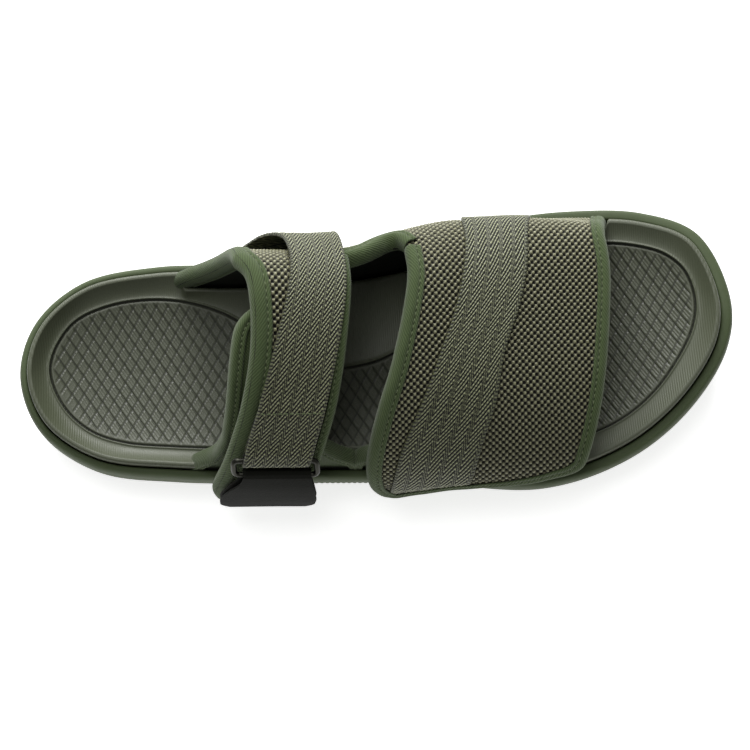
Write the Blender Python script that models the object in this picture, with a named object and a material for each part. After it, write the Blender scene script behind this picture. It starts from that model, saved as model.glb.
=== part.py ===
"""Strappy sport sandal for the right foot, in metres: +X heel to toe, +Y medial, +Z up.

An EVA footbed sits in a midsole cup on a rubber outsole. A medial wall and two lateral base
panels rise out of the slot between footbed and midsole. Two padded flaps cross the foot from
the wall and fasten on the lateral bases. Each flap carries a webbing strap.
"""
import bmesh
import bpy
import numpy as np
from mathutils import Matrix, Vector

MM = 0.001
GAP = 0.3

# Sole plan at the rim, heel to toe and back: medial side first
OUTLINE = [
    (-145.5, 1), (-138.5, 23), (-119, 39), (-88, 44), (-45, 41.8), (-8, 41.5), (35, 50),
    (58, 54.9), (84, 56.3), (113, 52.9), (135, 41.5), (145.7, 13), (142.5, -7.6), (125, -31.4),
    (99, -49.2), (64, -58.2), (15, -52.6), (-40, -48.6), (-85, -45), (-117, -38.6), (-138.5, -22),
]
SAMPLES_PER_SPAN = 16
HALF_STATIONS = 21
STATION_MERGE = 5.0
HEEL_X = -145.5
TOE_X = 145.7

# Sole heights
TOE_SPRING = 9.0
TOE_ROLL_START = 70.0
HEEL_LIFT = 2.5
HEEL_ROLL_START = -118.0
OUTSOLE_THICKNESS = 4.0
CUP_FLOOR = 9.0
RIM_HEIGHT = 28.0
RIM_FALL = 0.020
CREST_RISE = 3.5
ARCH_RISE = 5.0
ARCH_CENTRE_X = -20.0
ARCH_HALF_LENGTH = 45.0
PAD_HEIGHT = 26.0
PAD_FALL = 0.010
PAD_INSET = 14.5

# Rim of the cup, and the slot that takes the upper
RIM_HEEL = 3.4
RIM_TOE = 5.2
# Distance of the footbed spine's ends from the heel and from the toe
SPINE_HEEL = 48.0
SPINE_TOE = 52.0
# Rings of the outsole and of the midsole's outer side: (inset from the plan, height)
OUTSOLE_RINGS = [(6.0, 0.0), (4.6, 1.2), (4.2, OUTSOLE_THICKNESS)]
MIDSOLE_RINGS = [(4.0, OUTSOLE_THICKNESS + GAP), (1.6, 11.0), (0.0, 20.0)]
# Rounding of the midsole's rim: (inset, drop below the rim)
RIM_ROUND = [(0.2, 3.0), (1.5, 0.0)]
RIM_CHAMFER = (0.4, 1.0)
# Rounding of the footbed's crest: drop of its outer edge, inset of its top
CREST_DROP = 1.2
CREST_INSET = 1.0
# The slope from crest to pad: inset past the edge, least inset, share of the crest's height
SLOPE_INSET = 3.0
SLOPE_LEAST = 9.5
SLOPE_SHARE = 0.45
SLOPE_RISE = 1.2
# The dished pad: (drop, share of the way to the spine)
PAD_DISH = [(0.6, 0.5), (0.8, 0.85)]
# How far the sole spreads past the foot's line on the lateral side: (X, spread)
FLARE = [(-10, 0.0), (15, 0.1), (40, 2.2), (64, 4.2), (90, 4.6)]
SLOT_MEDIAL = (-92.0, 104.0)
SLOT_LATERAL = (-91.0, 89.0)
SLOT_FADE = 6.0
SLOT_OUTER = 0.9
PANEL_THICKNESS = 4.7
SLOT_WIDTH = 7.0

# Arch over the foot
BASE_LEVEL = 30.0
ARCH_HEIGHT = 78.5
ARCH_FALL = 0.23
DEGREE = 3
MEDIAL_INSET = 6.5
SLOT_LEVELS = (13, 24, 36)
WAIST_SHIFT = [(-24, -3.5), (-8, -2.6), (10, 0.2), (30, 0.2), (50, -3.6), (75, -7.6), (104, -10)]
SHOULDER_SHIFT = [(-24, -4), (-8, -3.6), (10, -1), (30, -1.2), (50, -5.8), (75, -9.6), (104, -12.6)]
# Crown control points: share of the half width (medial or lateral), share of the height
CROWN_MEDIAL = [(0.62, 1.06), (0.17, 1.08)]
CROWN_LATERAL = [(0.40, 0.94), (0.76, 0.66)]
WAIST_LEVEL = 0.45
SHOULDER_LEVEL = 0.82
FLANK_LEVEL = 0.36
HEM_LEVEL = 0.12
TUCKED_FLANK_LEVEL = 0.38
# Where the flaps' free ends lie beside the sole
END_X = [-70, -26, 0, 40, 80]
END_OUT = [4.5, 3.0, 2.2, -2.6, -5.0]
END_Z = [19, 19, 18, 28, 32]
HEM_PULL = 4.0

# Layers of a panel, as heights over the arch's inner face
LINING = (0.0, 0.9)
PADDING = (1.2, 3.4)
MESH = (3.7, 4.7)
WEBBING = (5.1, 6.3)
WEBBING_THICKNESS = 1.2
BASE_LINING = (-7.5, -6.7)
BASE_PADDING = (-6.4, -3.5)
LOOP_PATCH = (-3.2, -2.1)
HOOK_PATCH = (-1.3, -0.3)
LIP = 0.8
FOLD_OVER = 0.6
WALL_CLEARANCE = 4.0
BASE_CLEARANCE = 9.0

# Fold between the fixed wall and the flaps
FOLD = 0.40
FOLD_GAP = 0.004
FRONT_FOLD_X = (15.0, 92.0)
REAR_FOLD_X = (-52.0, -10.0)
FRONT_AXIS_HEIGHT = 6.8
REAR_AXIS_HEIGHT = 11.2
PATCH_T = (0.66, 0.85)

# Edges of the panels: (place round the arch, X)
REAR_HEEL = [(0.40, -52), (0.45, -47.8), (0.53, -46), (0.60, -46.6), (0.70, -51.2),
             (0.80, -57.7), (0.90, -64), (1.0, -70.5)]
REAR_TOE = [(0.40, -10), (0.50, -10.3), (0.60, -13.2), (0.70, -18), (0.80, -24), (0.90, -29.6),
            (1.0, -34)]
FRONT_HEEL = [(0.40, 15), (0.47, 15.3), (0.55, 12.5), (0.63, 7.5), (0.72, 0.5), (0.80, -3.8),
              (0.88, -5.7), (1.0, -3)]
FRONT_TOE = [(0.40, 92), (0.50, 92.4), (0.60, 90), (0.70, 86.3), (0.80, 82), (0.90, 77.5),
             (1.0, 73)]
WALL_HEEL = [(0.0, -81), (0.07, -80), (0.11, -76), (0.16, -69), (0.23, -61), (0.31, -55),
             (0.40, -52)]
WALL_TOE = [(0.0, 96), (0.12, 95.4), (0.25, 93.6), (0.40, 92)]
REAR_BASE_HEEL = [(0.52, -45.5), (0.583, -51.4), (0.638, -54), (0.718, -57), (0.792, -59.8),
                  (0.855, -62.6), (0.922, -69), (0.95, -75), (1.0, -83)]
REAR_BASE_TOE = [(0.52, -23.5), (0.70, -25.5), (0.80, -25.5), (0.87, -23), (0.91, -18),
                 (0.94, -12.2), (1.0, -12)]
FRONT_BASE_HEEL = [(0.62, 24), (0.72, 12), (0.80, 5), (0.87, -1), (0.91, -6), (0.94, -11.4),
                   (1.0, -11.6)]
FRONT_BASE_TOE = [(0.62, 64), (0.72, 70), (0.80, 72.5), (0.90, 74), (1.0, 75)]
REAR_WEB_HEEL = [(0.06, -66), (0.12, -63), (0.20, -55), (0.27, -45), (0.33, -36), (0.40, -32.4),
                 (0.53, -35), (0.615, -40.5), (0.70, -47), (0.782, -53), (0.87, -57.5)]
REAR_WEB_TOE = [(0.06, -35), (0.12, -30), (0.20, -22), (0.30, -13), (0.40, -10.8), (0.53, -12.2),
                (0.618, -16.3), (0.70, -21.4), (0.782, -26.8), (0.87, -32.3)]
FRONT_WEB_HEEL = [(0.05, 41), (0.20, 38.5), (0.325, 37), (0.408, 37), (0.478, 35), (0.555, 30.5),
                  (0.635, 22.5), (0.72, 14), (0.807, 7), (0.93, 2.5)]
FRONT_WEB_TOE = [(0.05, 68), (0.20, 66), (0.362, 63), (0.425, 61.5), (0.49, 60), (0.56, 55.5),
                 (0.623, 49), (0.703, 44.5), (0.785, 39), (0.897, 34.5)]
SCOOP = [(-10.5, 0.0), (-6, 0.006), (-2, 0.015), (3, 0.035), (8, 0.055), (12, 0.045), (15.5, 0.0)]

# Free ends
REAR_END = 0.985
FRONT_END = 0.985
END_SLANT = 0.055
REAR_SLANT = 0.025
CORNER_T = 0.05
CORNER_X = 8.0
BASE_CORNER_T = 0.07
BASE_CORNER_X = 9.8

# Ring and pull tab
RING_UPPER = 0.815
RING_LOWER = 0.853
RING_HEIGHT = 9.0
RING_WIRE = 1.1
RING_X = (-58.6, -26.4)
TAB_X = (-56.4, -28.6)
TAB_FLARE = [(0.80, 0.0), (0.868, 0.0), (0.90, 3.2), (0.945, 5.0), (0.960, 4.0), (0.968, 1.2)]
# The tab hangs with its free end further to the heel
TAB_SKEW = [(0.80, 0.0), (0.868, 0.0), (0.90, -2.2), (0.945, -4.2), (0.968, -4.8)]
TAB_THICKNESS = 1.0
STRAP_HEIGHT = 7.3
STRAP_LIFT = 4.2
LIFT_CENTRE = 0.30
LIFT_SPREAD = 0.08
TURN_BACK_END = 0.72


# Rows, columns and ends of the panels
EDGE_SHARES = [0, 0.175, 0.4, 0.65, 0.85, 1]
WIDE_SHARES = [0, 0.075, 0.28, 0.5, 0.72, 0.925, 1]
BASE_SHARES = [0, 0.13, 0.31, 0.5, 0.69, 0.87, 1]
WALL_SHARES = [0, 0.035, 0.12, 0.22, 0.33, 0.44, 0.49, 0.53, 0.57, 0.66, 0.8, 0.965, 1]
WALL_LEVELS = [0, 0.2, 0.38, 0.56, 0.74, 0.9, 1.0]
WALL_START = 0.012
BASE_START = 0.992
REAR_BASE_TOP = 0.52
FRONT_BASE_TOP = 0.62
FRONT_WEB_START = 0.125
FRONT_WEB_END = 0.93
WEB_SLANT = 0.035
WEB_CORNER = (0.01, 0.5)
REAR_WEB_START = 0.085
PANEL_ROWS, BASE_ROWS, WEB_ROWS, ANCHOR_ROWS = 11, 8, 13, 7
SMALL_CORNER = 0.7

# Folded tape: half width past the edge, its shoulder, and how far it covers the panel
NOSE = 1.6
NOSE_SHOULDER = 0.9
WALL_HEEL_TAPE, WALL_TOE_TAPE, SCOOP_TAPE, BASE_TAPE = 4.5, 3.0, 3.5, 3.0
FRONT_TAPE, REAR_HEEL_TAPE, REAR_TOE_TAPE = 4.5, 5.0, 2.4

# Rear webbing: height where it is sewn down, and its rise to the ring, as (place, height)
SEWN = [(0.085, 5.7), (0.2, STRAP_HEIGHT)]
RISE = [(0.68, 0.0), (0.715, 1.4), (0.755, 1.4)]
RISE_END = 0.803
STRAP_END = [0.78, 0.795]
TURN_BACK = (0.79, 0.768, 0.745, TURN_BACK_END)
TAB_OUTER = [(0.968, 9.4), (0.960, 9.6), (0.945, 9.9), (0.912, 10.2), (0.88, 10.7)]
TAB_INNER = [(0.87, 7.4), (0.885, 8.0), (0.912, 8.5), (0.945, 8.2), (0.960, 7.9), (0.968, 7.8)]
RING_CORNER = (0.010, 2.0)
RING_MIDDLE_X = -42.5

# Plain colours
RUBBER = (0.07, 0.08, 0.05)
BAND = (0.075, 0.095, 0.045)
INSERT = (0.09, 0.095, 0.06)
FABRIC = (0.07, 0.08, 0.04)
TAPE = (0.08, 0.10, 0.045)
DARK = (0.012, 0.014, 0.009)
FOAM = (0.05, 0.05, 0.04)
METAL = (0.25, 0.25, 0.24)


def clear_scene():
    for item in list(bpy.data.objects):
        bpy.data.objects.remove(item)


def material(name, colour, roughness, metallic=0.0):
    made = bpy.data.materials.new(name)
    made.use_nodes = True
    shader = made.node_tree.nodes["Principled BSDF"]
    shader.inputs["Base Color"].default_value = (*colour, 1.0)
    shader.inputs["Roughness"].default_value = roughness
    shader.inputs["Metallic"].default_value = metallic
    return made


def add_node(name, points, faces, colour, roughness, metallic=0.0):
    """One closed solid from points in millimetres."""
    mesh = bpy.data.meshes.new(name)
    mesh.from_pydata((np.asarray(points) * MM).tolist(), [], faces)
    shape = bmesh.new()
    shape.from_mesh(mesh)
    bmesh.ops.triangulate(shape, faces=shape.faces)
    bmesh.ops.recalc_face_normals(shape, faces=shape.faces)
    if shape.calc_volume(signed=True) < 0:
        bmesh.ops.reverse_faces(shape, faces=shape.faces)
    shape.to_mesh(mesh)
    shape.free()
    node = bpy.data.objects.new(name, mesh)
    node.data.materials.append(material(name, colour, roughness, metallic))
    bpy.context.scene.collection.objects.link(node)
    return node


def through(keys, t):
    """A smooth curve through keys of (place, value)."""
    keys = np.asarray(keys, float)
    place = keys[:, 0]
    value = keys[:, 1]
    slope = np.gradient(value, place)
    t = np.clip(t, place[0], place[-1])
    i = np.clip(np.searchsorted(place, t, side="right") - 1, 0, len(place) - 2)
    step = place[i + 1] - place[i]
    s = (t - place[i]) / step
    start = (2 * s**3 - 3 * s**2 + 1) * value[i] + (s**3 - 2 * s**2 + s) * step * slope[i]
    end = (3 * s**2 - 2 * s**3) * value[i + 1] + (s**3 - s**2) * step * slope[i + 1]
    return start + end


def closed_curve(points, per_span):
    """Centripetal spline through the corners of a closed outline."""
    points = np.asarray(points, float)
    count = len(points)
    found = []
    for i in range(count):
        before, start, end, after = (points[(i + k) % count] for k in (-1, 0, 1, 2))
        lead = np.linalg.norm(start - before) ** 0.5
        span = np.linalg.norm(end - start) ** 0.5
        tail = np.linalg.norm(after - end) ** 0.5
        leave = (start - before) / lead - (end - before) / (lead + span) + (end - start) / span
        arrive = (end - start) / span - (after - start) / (span + tail) + (after - end) / tail
        for s in np.arange(per_span) / per_span:
            found.append(
                (2 * s**3 - 3 * s**2 + 1) * start
                + (s**3 - 2 * s**2 + s) * span * leave
                + (3 * s**2 - 2 * s**3) * end
                + (s**3 - s**2) * span * arrive
            )
    return np.array(found)


PLAN = closed_curve(OUTLINE, SAMPLES_PER_SPAN)


def half_plan(side):
    """One side of the plan, heel to toe, with its inward direction at each point."""
    ahead = np.roll(PLAN, -1, axis=0) - np.roll(PLAN, 1, axis=0)
    inward = np.stack([ahead[:, 1], -ahead[:, 0]], -1)
    inward = inward / np.linalg.norm(inward, axis=1, keepdims=True)
    heel = PLAN[:, 0].argmin()
    order = np.roll(np.arange(len(PLAN)), -heel)
    toe = PLAN[order][:, 0].argmax()
    order = order[: toe + 1] if side > 0 else np.append(order[toe:], order[0])[::-1]
    return PLAN[order], inward[order]


def plan_y(x, side):
    edge = half_plan(side)[0]
    return np.interp(x, edge[:, 0], edge[:, 1])


def ground_rise(x):
    """Toe spring and the rolled heel."""
    toe = np.clip((x - TOE_ROLL_START) / (TOE_X - TOE_ROLL_START), 0, None)
    heel = np.clip((HEEL_ROLL_START - x) / (HEEL_ROLL_START - HEEL_X), 0, None)
    return TOE_SPRING * toe**2 + HEEL_LIFT * heel**2


def flare(x):
    """How far the sole spreads past the foot's line on the lateral side."""
    return np.interp(x, *np.transpose(FLARE))


def rim_width(x, side):
    plain = RIM_HEEL + (RIM_TOE - RIM_HEEL) * (x - HEEL_X) / (TOE_X - HEEL_X)
    return plain + flare(x) * in_slot(x, -1) * (side < 0)


def rim_top(x):
    return RIM_HEIGHT - RIM_FALL * x + ground_rise(x)


def pad_top(x):
    return PAD_HEIGHT - PAD_FALL * x + ground_rise(x)


def in_slot(x, side):
    low, high = SLOT_MEDIAL if side > 0 else SLOT_LATERAL
    return np.clip((x - low) / SLOT_FADE, 0, 1) * np.clip((high - x) / SLOT_FADE, 0, 1)


def ring_of_sole():
    """Stations round the sole, medial heel to toe then lateral back: plan, inward, side."""
    turn = np.linspace(0, np.pi, HALF_STATIONS)
    ends = np.array([SLOT_MEDIAL, SLOT_LATERAL])
    ends = np.concatenate([ends, ends + [[SLOT_FADE, -SLOT_FADE]]]).ravel()
    spread = HEEL_X + (TOE_X - HEEL_X) * (1 - np.cos(turn)) / 2
    near = np.abs(spread[:, None] - ends).min(1) < STATION_MERGE
    stations = np.sort(np.concatenate([spread[~near], ends]))
    rows = []
    for side in (1, -1):
        edge, inward = half_plan(side)
        x = np.clip(stations, edge[0, 0], edge[-1, 0])
        place = np.stack([x, np.interp(x, edge[:, 0], edge[:, 1])], -1)
        facing = np.stack([np.interp(x, edge[:, 0], inward[:, k]) for k in (0, 1)], -1)
        facing /= np.linalg.norm(facing, axis=1, keepdims=True)
        rows.append((place, facing, np.full(len(x), side)))
    medial, lateral = rows
    return tuple(np.concatenate([m, v[-2:0:-1]]) for m, v in zip(medial, lateral))


def inset_ring(inset, height, blend=0.0):
    """Points inset from the plan, then moved part of the way to the sole's spine."""
    place, facing, side = ring_of_sole()
    depth = inset(place[:, 0], side) if callable(inset) else inset
    flat = place + facing * np.reshape(depth, (-1, 1))
    spine_x = np.clip(flat[:, 0], HEEL_X + SPINE_HEEL, TOE_X - SPINE_TOE)
    spine_y = (plan_y(spine_x, 1) + plan_y(spine_x, -1)) / 2
    flat = flat + blend * (np.stack([spine_x, spine_y], -1) - flat)
    rise = height(flat[:, 0], side)
    return np.column_stack([flat, rise])


def stacked(name, rings, colour, roughness):
    """A solid from rings in order, closed across the first and the last."""
    count = len(rings[0])
    faces = []
    for level in range(len(rings) - 1):
        for i in range(count):
            j = (i + 1) % count
            low = level * count
            faces.append((low + i, low + j, low + count + j, low + count + i))
    for base in (0, (len(rings) - 1) * count):
        for i in range(count // 2):
            a, b = i, i + 1
            c, d = (count - b) % count, (count - a) % count
            corners = list(dict.fromkeys([base + a, base + b, base + c, base + d]))
            faces.append(tuple(corners))
    return add_node(name, np.concatenate(rings), faces, colour, roughness)


def level(offset):
    return lambda x, side: offset + ground_rise(x)


def build_sole():
    outsole = [inset_ring(inset, level(height)) for inset, height in OUTSOLE_RINGS]
    stacked("outsole", outsole, RUBBER, 0.8)
    rim = lambda drop: (lambda x, side: rim_top(x) - drop)
    midsole = [inset_ring(inset, level(height)) for inset, height in MIDSOLE_RINGS]
    midsole += [inset_ring(inset, rim(drop)) for inset, drop in RIM_ROUND]
    midsole += [
        inset_ring(lambda x, side: rim_width(x, side) - RIM_CHAMFER[0], rim(0)),
        inset_ring(rim_width, rim(RIM_CHAMFER[1])), inset_ring(rim_width, level(CUP_FLOOR)),
    ]
    stacked("midsole", midsole, BAND, 0.75)

    def edge(x, side):
        slot = np.where(side > 0, in_slot(x, 1), in_slot(x, -1))
        return rim_width(x, side) + GAP + slot * (SLOT_WIDTH - GAP)

    def crest(x, side):
        arch = np.clip(1 - ((x - ARCH_CENTRE_X) / ARCH_HALF_LENGTH) ** 2, 0, 1) ** 2
        return rim_top(x) + CREST_RISE + ARCH_RISE * arch * (side > 0)

    def slope(x, side):
        return SLOPE_SHARE * crest(x, side) + (1 - SLOPE_SHARE) * (pad_top(x) + SLOPE_RISE)

    footbed = [
        inset_ring(edge, level(CUP_FLOOR + GAP)),
        inset_ring(edge, lambda x, side: crest(x, side) - CREST_DROP),
        inset_ring(lambda x, side: edge(x, side) + CREST_INSET, crest),
        inset_ring(lambda x, side: np.maximum(edge(x, side) + SLOPE_INSET, SLOPE_LEAST), slope),
        inset_ring(PAD_INSET, lambda x, side: pad_top(x)),
    ]
    for drop, share in PAD_DISH:
        footbed.append(inset_ring(PAD_INSET, lambda x, side: pad_top(x) - drop, share))
    stacked("footbed", footbed, INSERT, 0.7)


def bend_weights(t, count):
    """Cubic weights of each control point at place t, from 0 at the medial end to 1."""
    inner = np.linspace(0, 1, count - DEGREE + 1)
    knots = np.concatenate([np.zeros(DEGREE), inner, np.ones(DEGREE)])
    t = np.clip(t, 0, 1 - 1e-9)
    weights = [((t >= knots[i]) & (t < knots[i + 1])).astype(float) for i in range(len(knots) - 1)]
    for order in range(1, DEGREE + 1):
        raised = []
        for i in range(len(weights) - 1):
            left = knots[i + order] - knots[i]
            right = knots[i + order + 1] - knots[i + 1]
            a = (t - knots[i]) / left if left > 0 else 0
            b = (knots[i + order + 1] - t) / right if right > 0 else 0
            raised.append(a * weights[i] + b * weights[i + 1])
        weights = raised
    return np.stack(weights, -1)


def arch(t, x, tucked=False):
    """The arch's inner face. A tucked arch ends in the lateral slot, a plain one outside it."""
    t, x = np.broadcast_arrays(np.asarray(t, float), np.asarray(x, float))
    medial = plan_y(x, 1) - MEDIAL_INSET
    foot = plan_y(x, 1) - rim_width(x, 1) - SLOT_OUTER - PANEL_THICKNESS
    lateral = -plan_y(x, -1) - flare(x)
    height = ARCH_HEIGHT - ARCH_FALL * x - BASE_LEVEL
    waist = through(WAIST_SHIFT, x)
    shoulder = through(SHOULDER_SHIFT, x)
    profile = [(foot, level) for level in SLOT_LEVELS]
    profile += [(medial + waist, BASE_LEVEL + WAIST_LEVEL * height),
                (medial + shoulder, BASE_LEVEL + SHOULDER_LEVEL * height)]
    profile += [(w * medial, BASE_LEVEL + h * height) for w, h in CROWN_MEDIAL]
    profile += [(-w * lateral, BASE_LEVEL + h * height) for w, h in CROWN_LATERAL]
    if tucked:
        sunk = -plan_y(x, -1) - rim_width(x, -1) - SLOT_OUTER - BASE_PADDING[1]
        profile += [(1.5 - sunk, BASE_LEVEL + TUCKED_FLANK_LEVEL * height),
                    (-sunk, BASE_LEVEL), (-sunk, SLOT_LEVELS[0])]
    else:
        end_y = lateral + np.interp(x, END_X, END_OUT)
        pull = HEM_PULL * np.clip(x / END_X[-1], 0, 1)
        profile += [(-0.97 * lateral - 1, BASE_LEVEL + FLANK_LEVEL * height),
                    (pull - lateral - 1.5, BASE_LEVEL + HEM_LEVEL * height),
                    (-end_y, np.interp(x, END_X, END_Z))]
    weights = bend_weights(t, len(profile))
    y = sum(w * p[0] for w, p in zip(np.moveaxis(weights, -1, 0), profile))
    z = sum(w * p[1] for w, p in zip(np.moveaxis(weights, -1, 0), profile))
    return np.stack([x, y, z], -1)


def slopes(t, x, tucked):
    """Changes of position per unit place and per millimetre of X, and the outward normal."""
    along = (arch(np.clip(t + 1e-4, 0, 1), x, tucked) - arch(np.clip(t - 1e-4, 0, 1), x, tucked))
    along = along / (np.clip(t + 1e-4, 0, 1) - np.clip(t - 1e-4, 0, 1))[..., None]
    forward = (arch(t, x + 0.05, tucked) - arch(t, x - 0.05, tucked)) / 0.1
    normal = np.cross(along, forward)
    return along, forward, normal / np.linalg.norm(normal, axis=-1, keepdims=True)


def over(t, x, height, tucked=False):
    """A point at this height over the arch."""
    t, x, height = np.broadcast_arrays(t, x, height)
    return arch(t, x, tucked) + slopes(t, x, tucked)[2] * height[..., None]


def grid_faces(rows, cols):
    """A slab's faces: one grid over another, joined round the rim."""
    size = rows * cols
    faces = []
    for r in range(rows - 1):
        for c in range(cols - 1):
            a = r * cols + c
            quad = (a, a + 1, a + cols + 1, a + cols)
            faces.append(quad)
            faces.append(tuple(size + k for k in reversed(quad)))
    rim = [c for c in range(cols)] + [r * cols + cols - 1 for r in range(1, rows)]
    rim += [(rows - 1) * cols + c for c in range(cols - 2, -1, -1)]
    rim += [r * cols for r in range(rows - 2, 0, -1)]
    for k, a in enumerate(rim):
        b = rim[(k + 1) % len(rim)]
        faces.append((b, a, size + a, size + b))
    return faces


def slab(name, places, layer, colour, roughness=0.85, tucked=False):
    t, x = places[..., 0], places[..., 1]
    low = over(t, x, np.asarray(layer[0], float), tucked)
    high = over(t, x, np.asarray(layer[1], float), tucked)
    points = np.concatenate([high.reshape(-1, 3), low.reshape(-1, 3)])
    return add_node(name, points, grid_faces(*t.shape), colour, roughness)


def strip(name, path, thickness, heel, toe, colour, columns=3, roughness=0.8):
    """A flat tape along a path of (place, height), between two edges."""
    place = np.array([p[0] for p in path])
    height = np.array([p[1] for p in path])
    share = np.linspace(0, 1, columns)
    start, end = heel(place), toe(place)
    x = start[:, None] + (end - start)[:, None] * share
    centre = over(np.repeat(place[:, None], columns, 1), x, height[:, None])
    ahead = np.gradient(centre, axis=0)
    across = np.gradient(centre, axis=1)
    facing = np.cross(ahead, across)
    facing /= np.linalg.norm(facing, axis=-1, keepdims=True)
    high = centre + facing * thickness / 2
    low = centre - facing * thickness / 2
    points = np.concatenate([high.reshape(-1, 3), low.reshape(-1, 3)])
    return add_node(name, points, grid_faces(len(path), columns), colour, roughness)


def flap_places(heel, toe, start, end, slant, rows, shares, corner_t=CORNER_T, corner_x=CORNER_X):
    """Rows of (place, X) from the fold to a free end whose corners are rounded."""
    turn = np.radians([0, 35, 65, 90])
    straight = np.linspace(0, 1 - corner_t / abs(end - start), rows)[:-1]
    u = np.concatenate([straight, 1 - corner_t / abs(end - start) * (1 - np.sin(turn))])
    trim = np.concatenate([np.zeros(len(straight)), corner_x * (1 - np.cos(turn))])
    t = start + (end - start) * u[:, None] - slant * u[:, None] ** 2 * np.asarray(shares)[None]
    low = through(heel, t) + trim[:, None]
    high = through(toe, t) - trim[:, None]
    return np.stack([t, low + (high - low) * np.asarray(shares)[None]], -1)


def rim_of(places):
    """The free edge of a panel: down the heel side, across the end, up the toe side."""
    return np.concatenate([places[:, 0], places[-1, 1:-1], places[::-1, -1]])


def binding(name, rim, layer, width, outward, colour, tucked=False):
    """Tape folded over a panel's edge, as a C section swept along it."""
    low, high = layer
    low, high = low - FOLD_OVER, high + FOLD_OVER
    section = [(-width, high), (-width, high + LIP), (NOSE_SHOULDER, high + LIP), (NOSE, high),
               (NOSE, low), (NOSE_SHOULDER, low - LIP), (-width, low - LIP), (-width, low),
               (FOLD_OVER, low),
               (FOLD_OVER, high)]
    t, x = rim[:, 0], rim[:, 1]
    along, forward, normal = slopes(t, x, tucked)
    ahead = np.gradient(arch(t, x, tucked), axis=0)
    ahead /= np.linalg.norm(ahead, axis=1, keepdims=True)
    out = np.cross(ahead, normal) * outward
    rows = []
    for depth, height in section:
        if depth > 0:
            rows.append(over(t, x, height, tucked) + out * depth)
            continue
        share = np.array([np.linalg.lstsq(np.stack([a, f], -1), o * depth, rcond=None)[0]
                          for a, f, o in zip(along, forward, out)])
        rows.append(over(np.clip(t + share[:, 0], 0.001, 0.999), x + share[:, 1], height, tucked))
    points = np.stack(rows, 1)
    count, size = points.shape[:2]
    faces = [(i * size + k, i * size + (k + 1) % size, (i + 1) * size + (k + 1) % size,
              (i + 1) * size + k) for i in range(count - 1) for k in range(size)]
    for base in (0, (count - 1) * size):
        for ends in ((0, 1, 2, 9), (2, 3, 8, 9), (3, 4, 7, 8), (4, 5, 6, 7)):
            faces.append(tuple(base + k for k in ends))
    return add_node(name, points.reshape(-1, 3), faces, colour, 0.9)


def wall_places():
    shares = np.array(WALL_SHARES)
    u = np.array(WALL_LEVELS)[:, None]
    rough = WALL_START + (FOLD - FOLD_GAP - WALL_START) * u * np.ones(len(shares))
    for _ in range(4):
        low = through(WALL_HEEL, rough)
        high = through(WALL_TOE, rough)
        x = low + (high - low) * shares
        dip = through(SCOOP, x) * ((x > SCOOP[0][0]) & (x < SCOOP[-1][0]))
        rough = WALL_START + (FOLD - FOLD_GAP - dip - WALL_START) * u
    return np.stack([rough, x], -1)


def clear_of_rim(rim, clearance, tucked=False):
    """The stretch of an edge that stands above the cup's rim."""
    height = arch(rim[:, 0], rim[:, 1], tucked)[:, 2]
    return rim[height > rim_top(rim[:, 1]) + clearance]


def build_wall():
    places = wall_places()
    slab("medial_wall_lining", places, LINING, DARK)
    slab("medial_wall_padding", places, PADDING, FOAM)
    slab("medial_wall_mesh", places, MESH, FABRIC)
    layer = (LINING[0], MESH[1])
    heel, toe = (clear_of_rim(places[:-1, k], WALL_CLEARANCE) for k in (0, -1))
    binding("wall_heel_binding", heel, layer, WALL_HEEL_TAPE, 1, TAPE)
    binding("wall_toe_binding", toe, layer, WALL_TOE_TAPE, -1, TAPE)
    top = places[-1]
    scoop = top[(top[:, 1] > SCOOP[0][0] - 1) & (top[:, 1] < SCOOP[-1][0] + 1)]
    binding("scoop_binding", scoop, layer, SCOOP_TAPE, 1, TAPE)
    anchor = flap_places(FRONT_WEB_HEEL, FRONT_WEB_TOE, FOLD - FOLD_GAP, FRONT_WEB_START, 0,
                         ANCHOR_ROWS, [0, 0.5, 1], *WEB_CORNER)
    slab("front_webbing_anchor", anchor, WEBBING, FABRIC)
    run = np.linspace(FOLD - FOLD_GAP, REAR_WEB_START, 12)
    path = [(t, strap_height(t)) for t in run]
    strip("rear_webbing_anchor", path, WEBBING_THICKNESS, web_edge(REAR_WEB_HEEL),
          web_edge(REAR_WEB_TOE), FABRIC)


def web_edge(keys):
    return lambda t: through(keys, t)


def strap_height(t):
    """The rear webbing stands off the panel at the shoulder and is sewn down below it."""
    settled = np.interp(t, *np.transpose(SEWN))
    return settled + STRAP_LIFT * np.exp(-(((t - LIFT_CENTRE) / LIFT_SPREAD) ** 2))


def build_bases():
    layer = (BASE_LINING[0], BASE_PADDING[1])
    for name, heel, toe, top in (
        ("rear", REAR_BASE_HEEL, REAR_BASE_TOE, REAR_BASE_TOP),
        ("front", FRONT_BASE_HEEL, FRONT_BASE_TOE, FRONT_BASE_TOP),
    ):
        places = flap_places(heel, toe, BASE_START, top, 0, BASE_ROWS, BASE_SHARES,
                             BASE_CORNER_T, BASE_CORNER_X)
        slab(name + "_lateral_base", places, BASE_PADDING, FABRIC, tucked=True)
        slab(name + "_base_lining", places, BASE_LINING, DARK, tucked=True)
        rim = rim_of(places)
        rim = clear_of_rim(rim, BASE_CLEARANCE, tucked=True)
        binding(name + "_base_binding", rim, layer, BASE_TAPE, -1, TAPE, tucked=True)
        patch(name + "_loop_patch", places, LOOP_PATCH, True)


def patch(name, places, layer, tucked=False):
    """Half of a hook-and-loop fastener, on the middle of a panel."""
    middle = places[:, places.shape[1] // 2, 0]
    rows = (middle > PATCH_T[0]) & (middle < PATCH_T[1])
    slab(name, places[rows, 1:-1], layer, DARK, 0.95, tucked)


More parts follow.
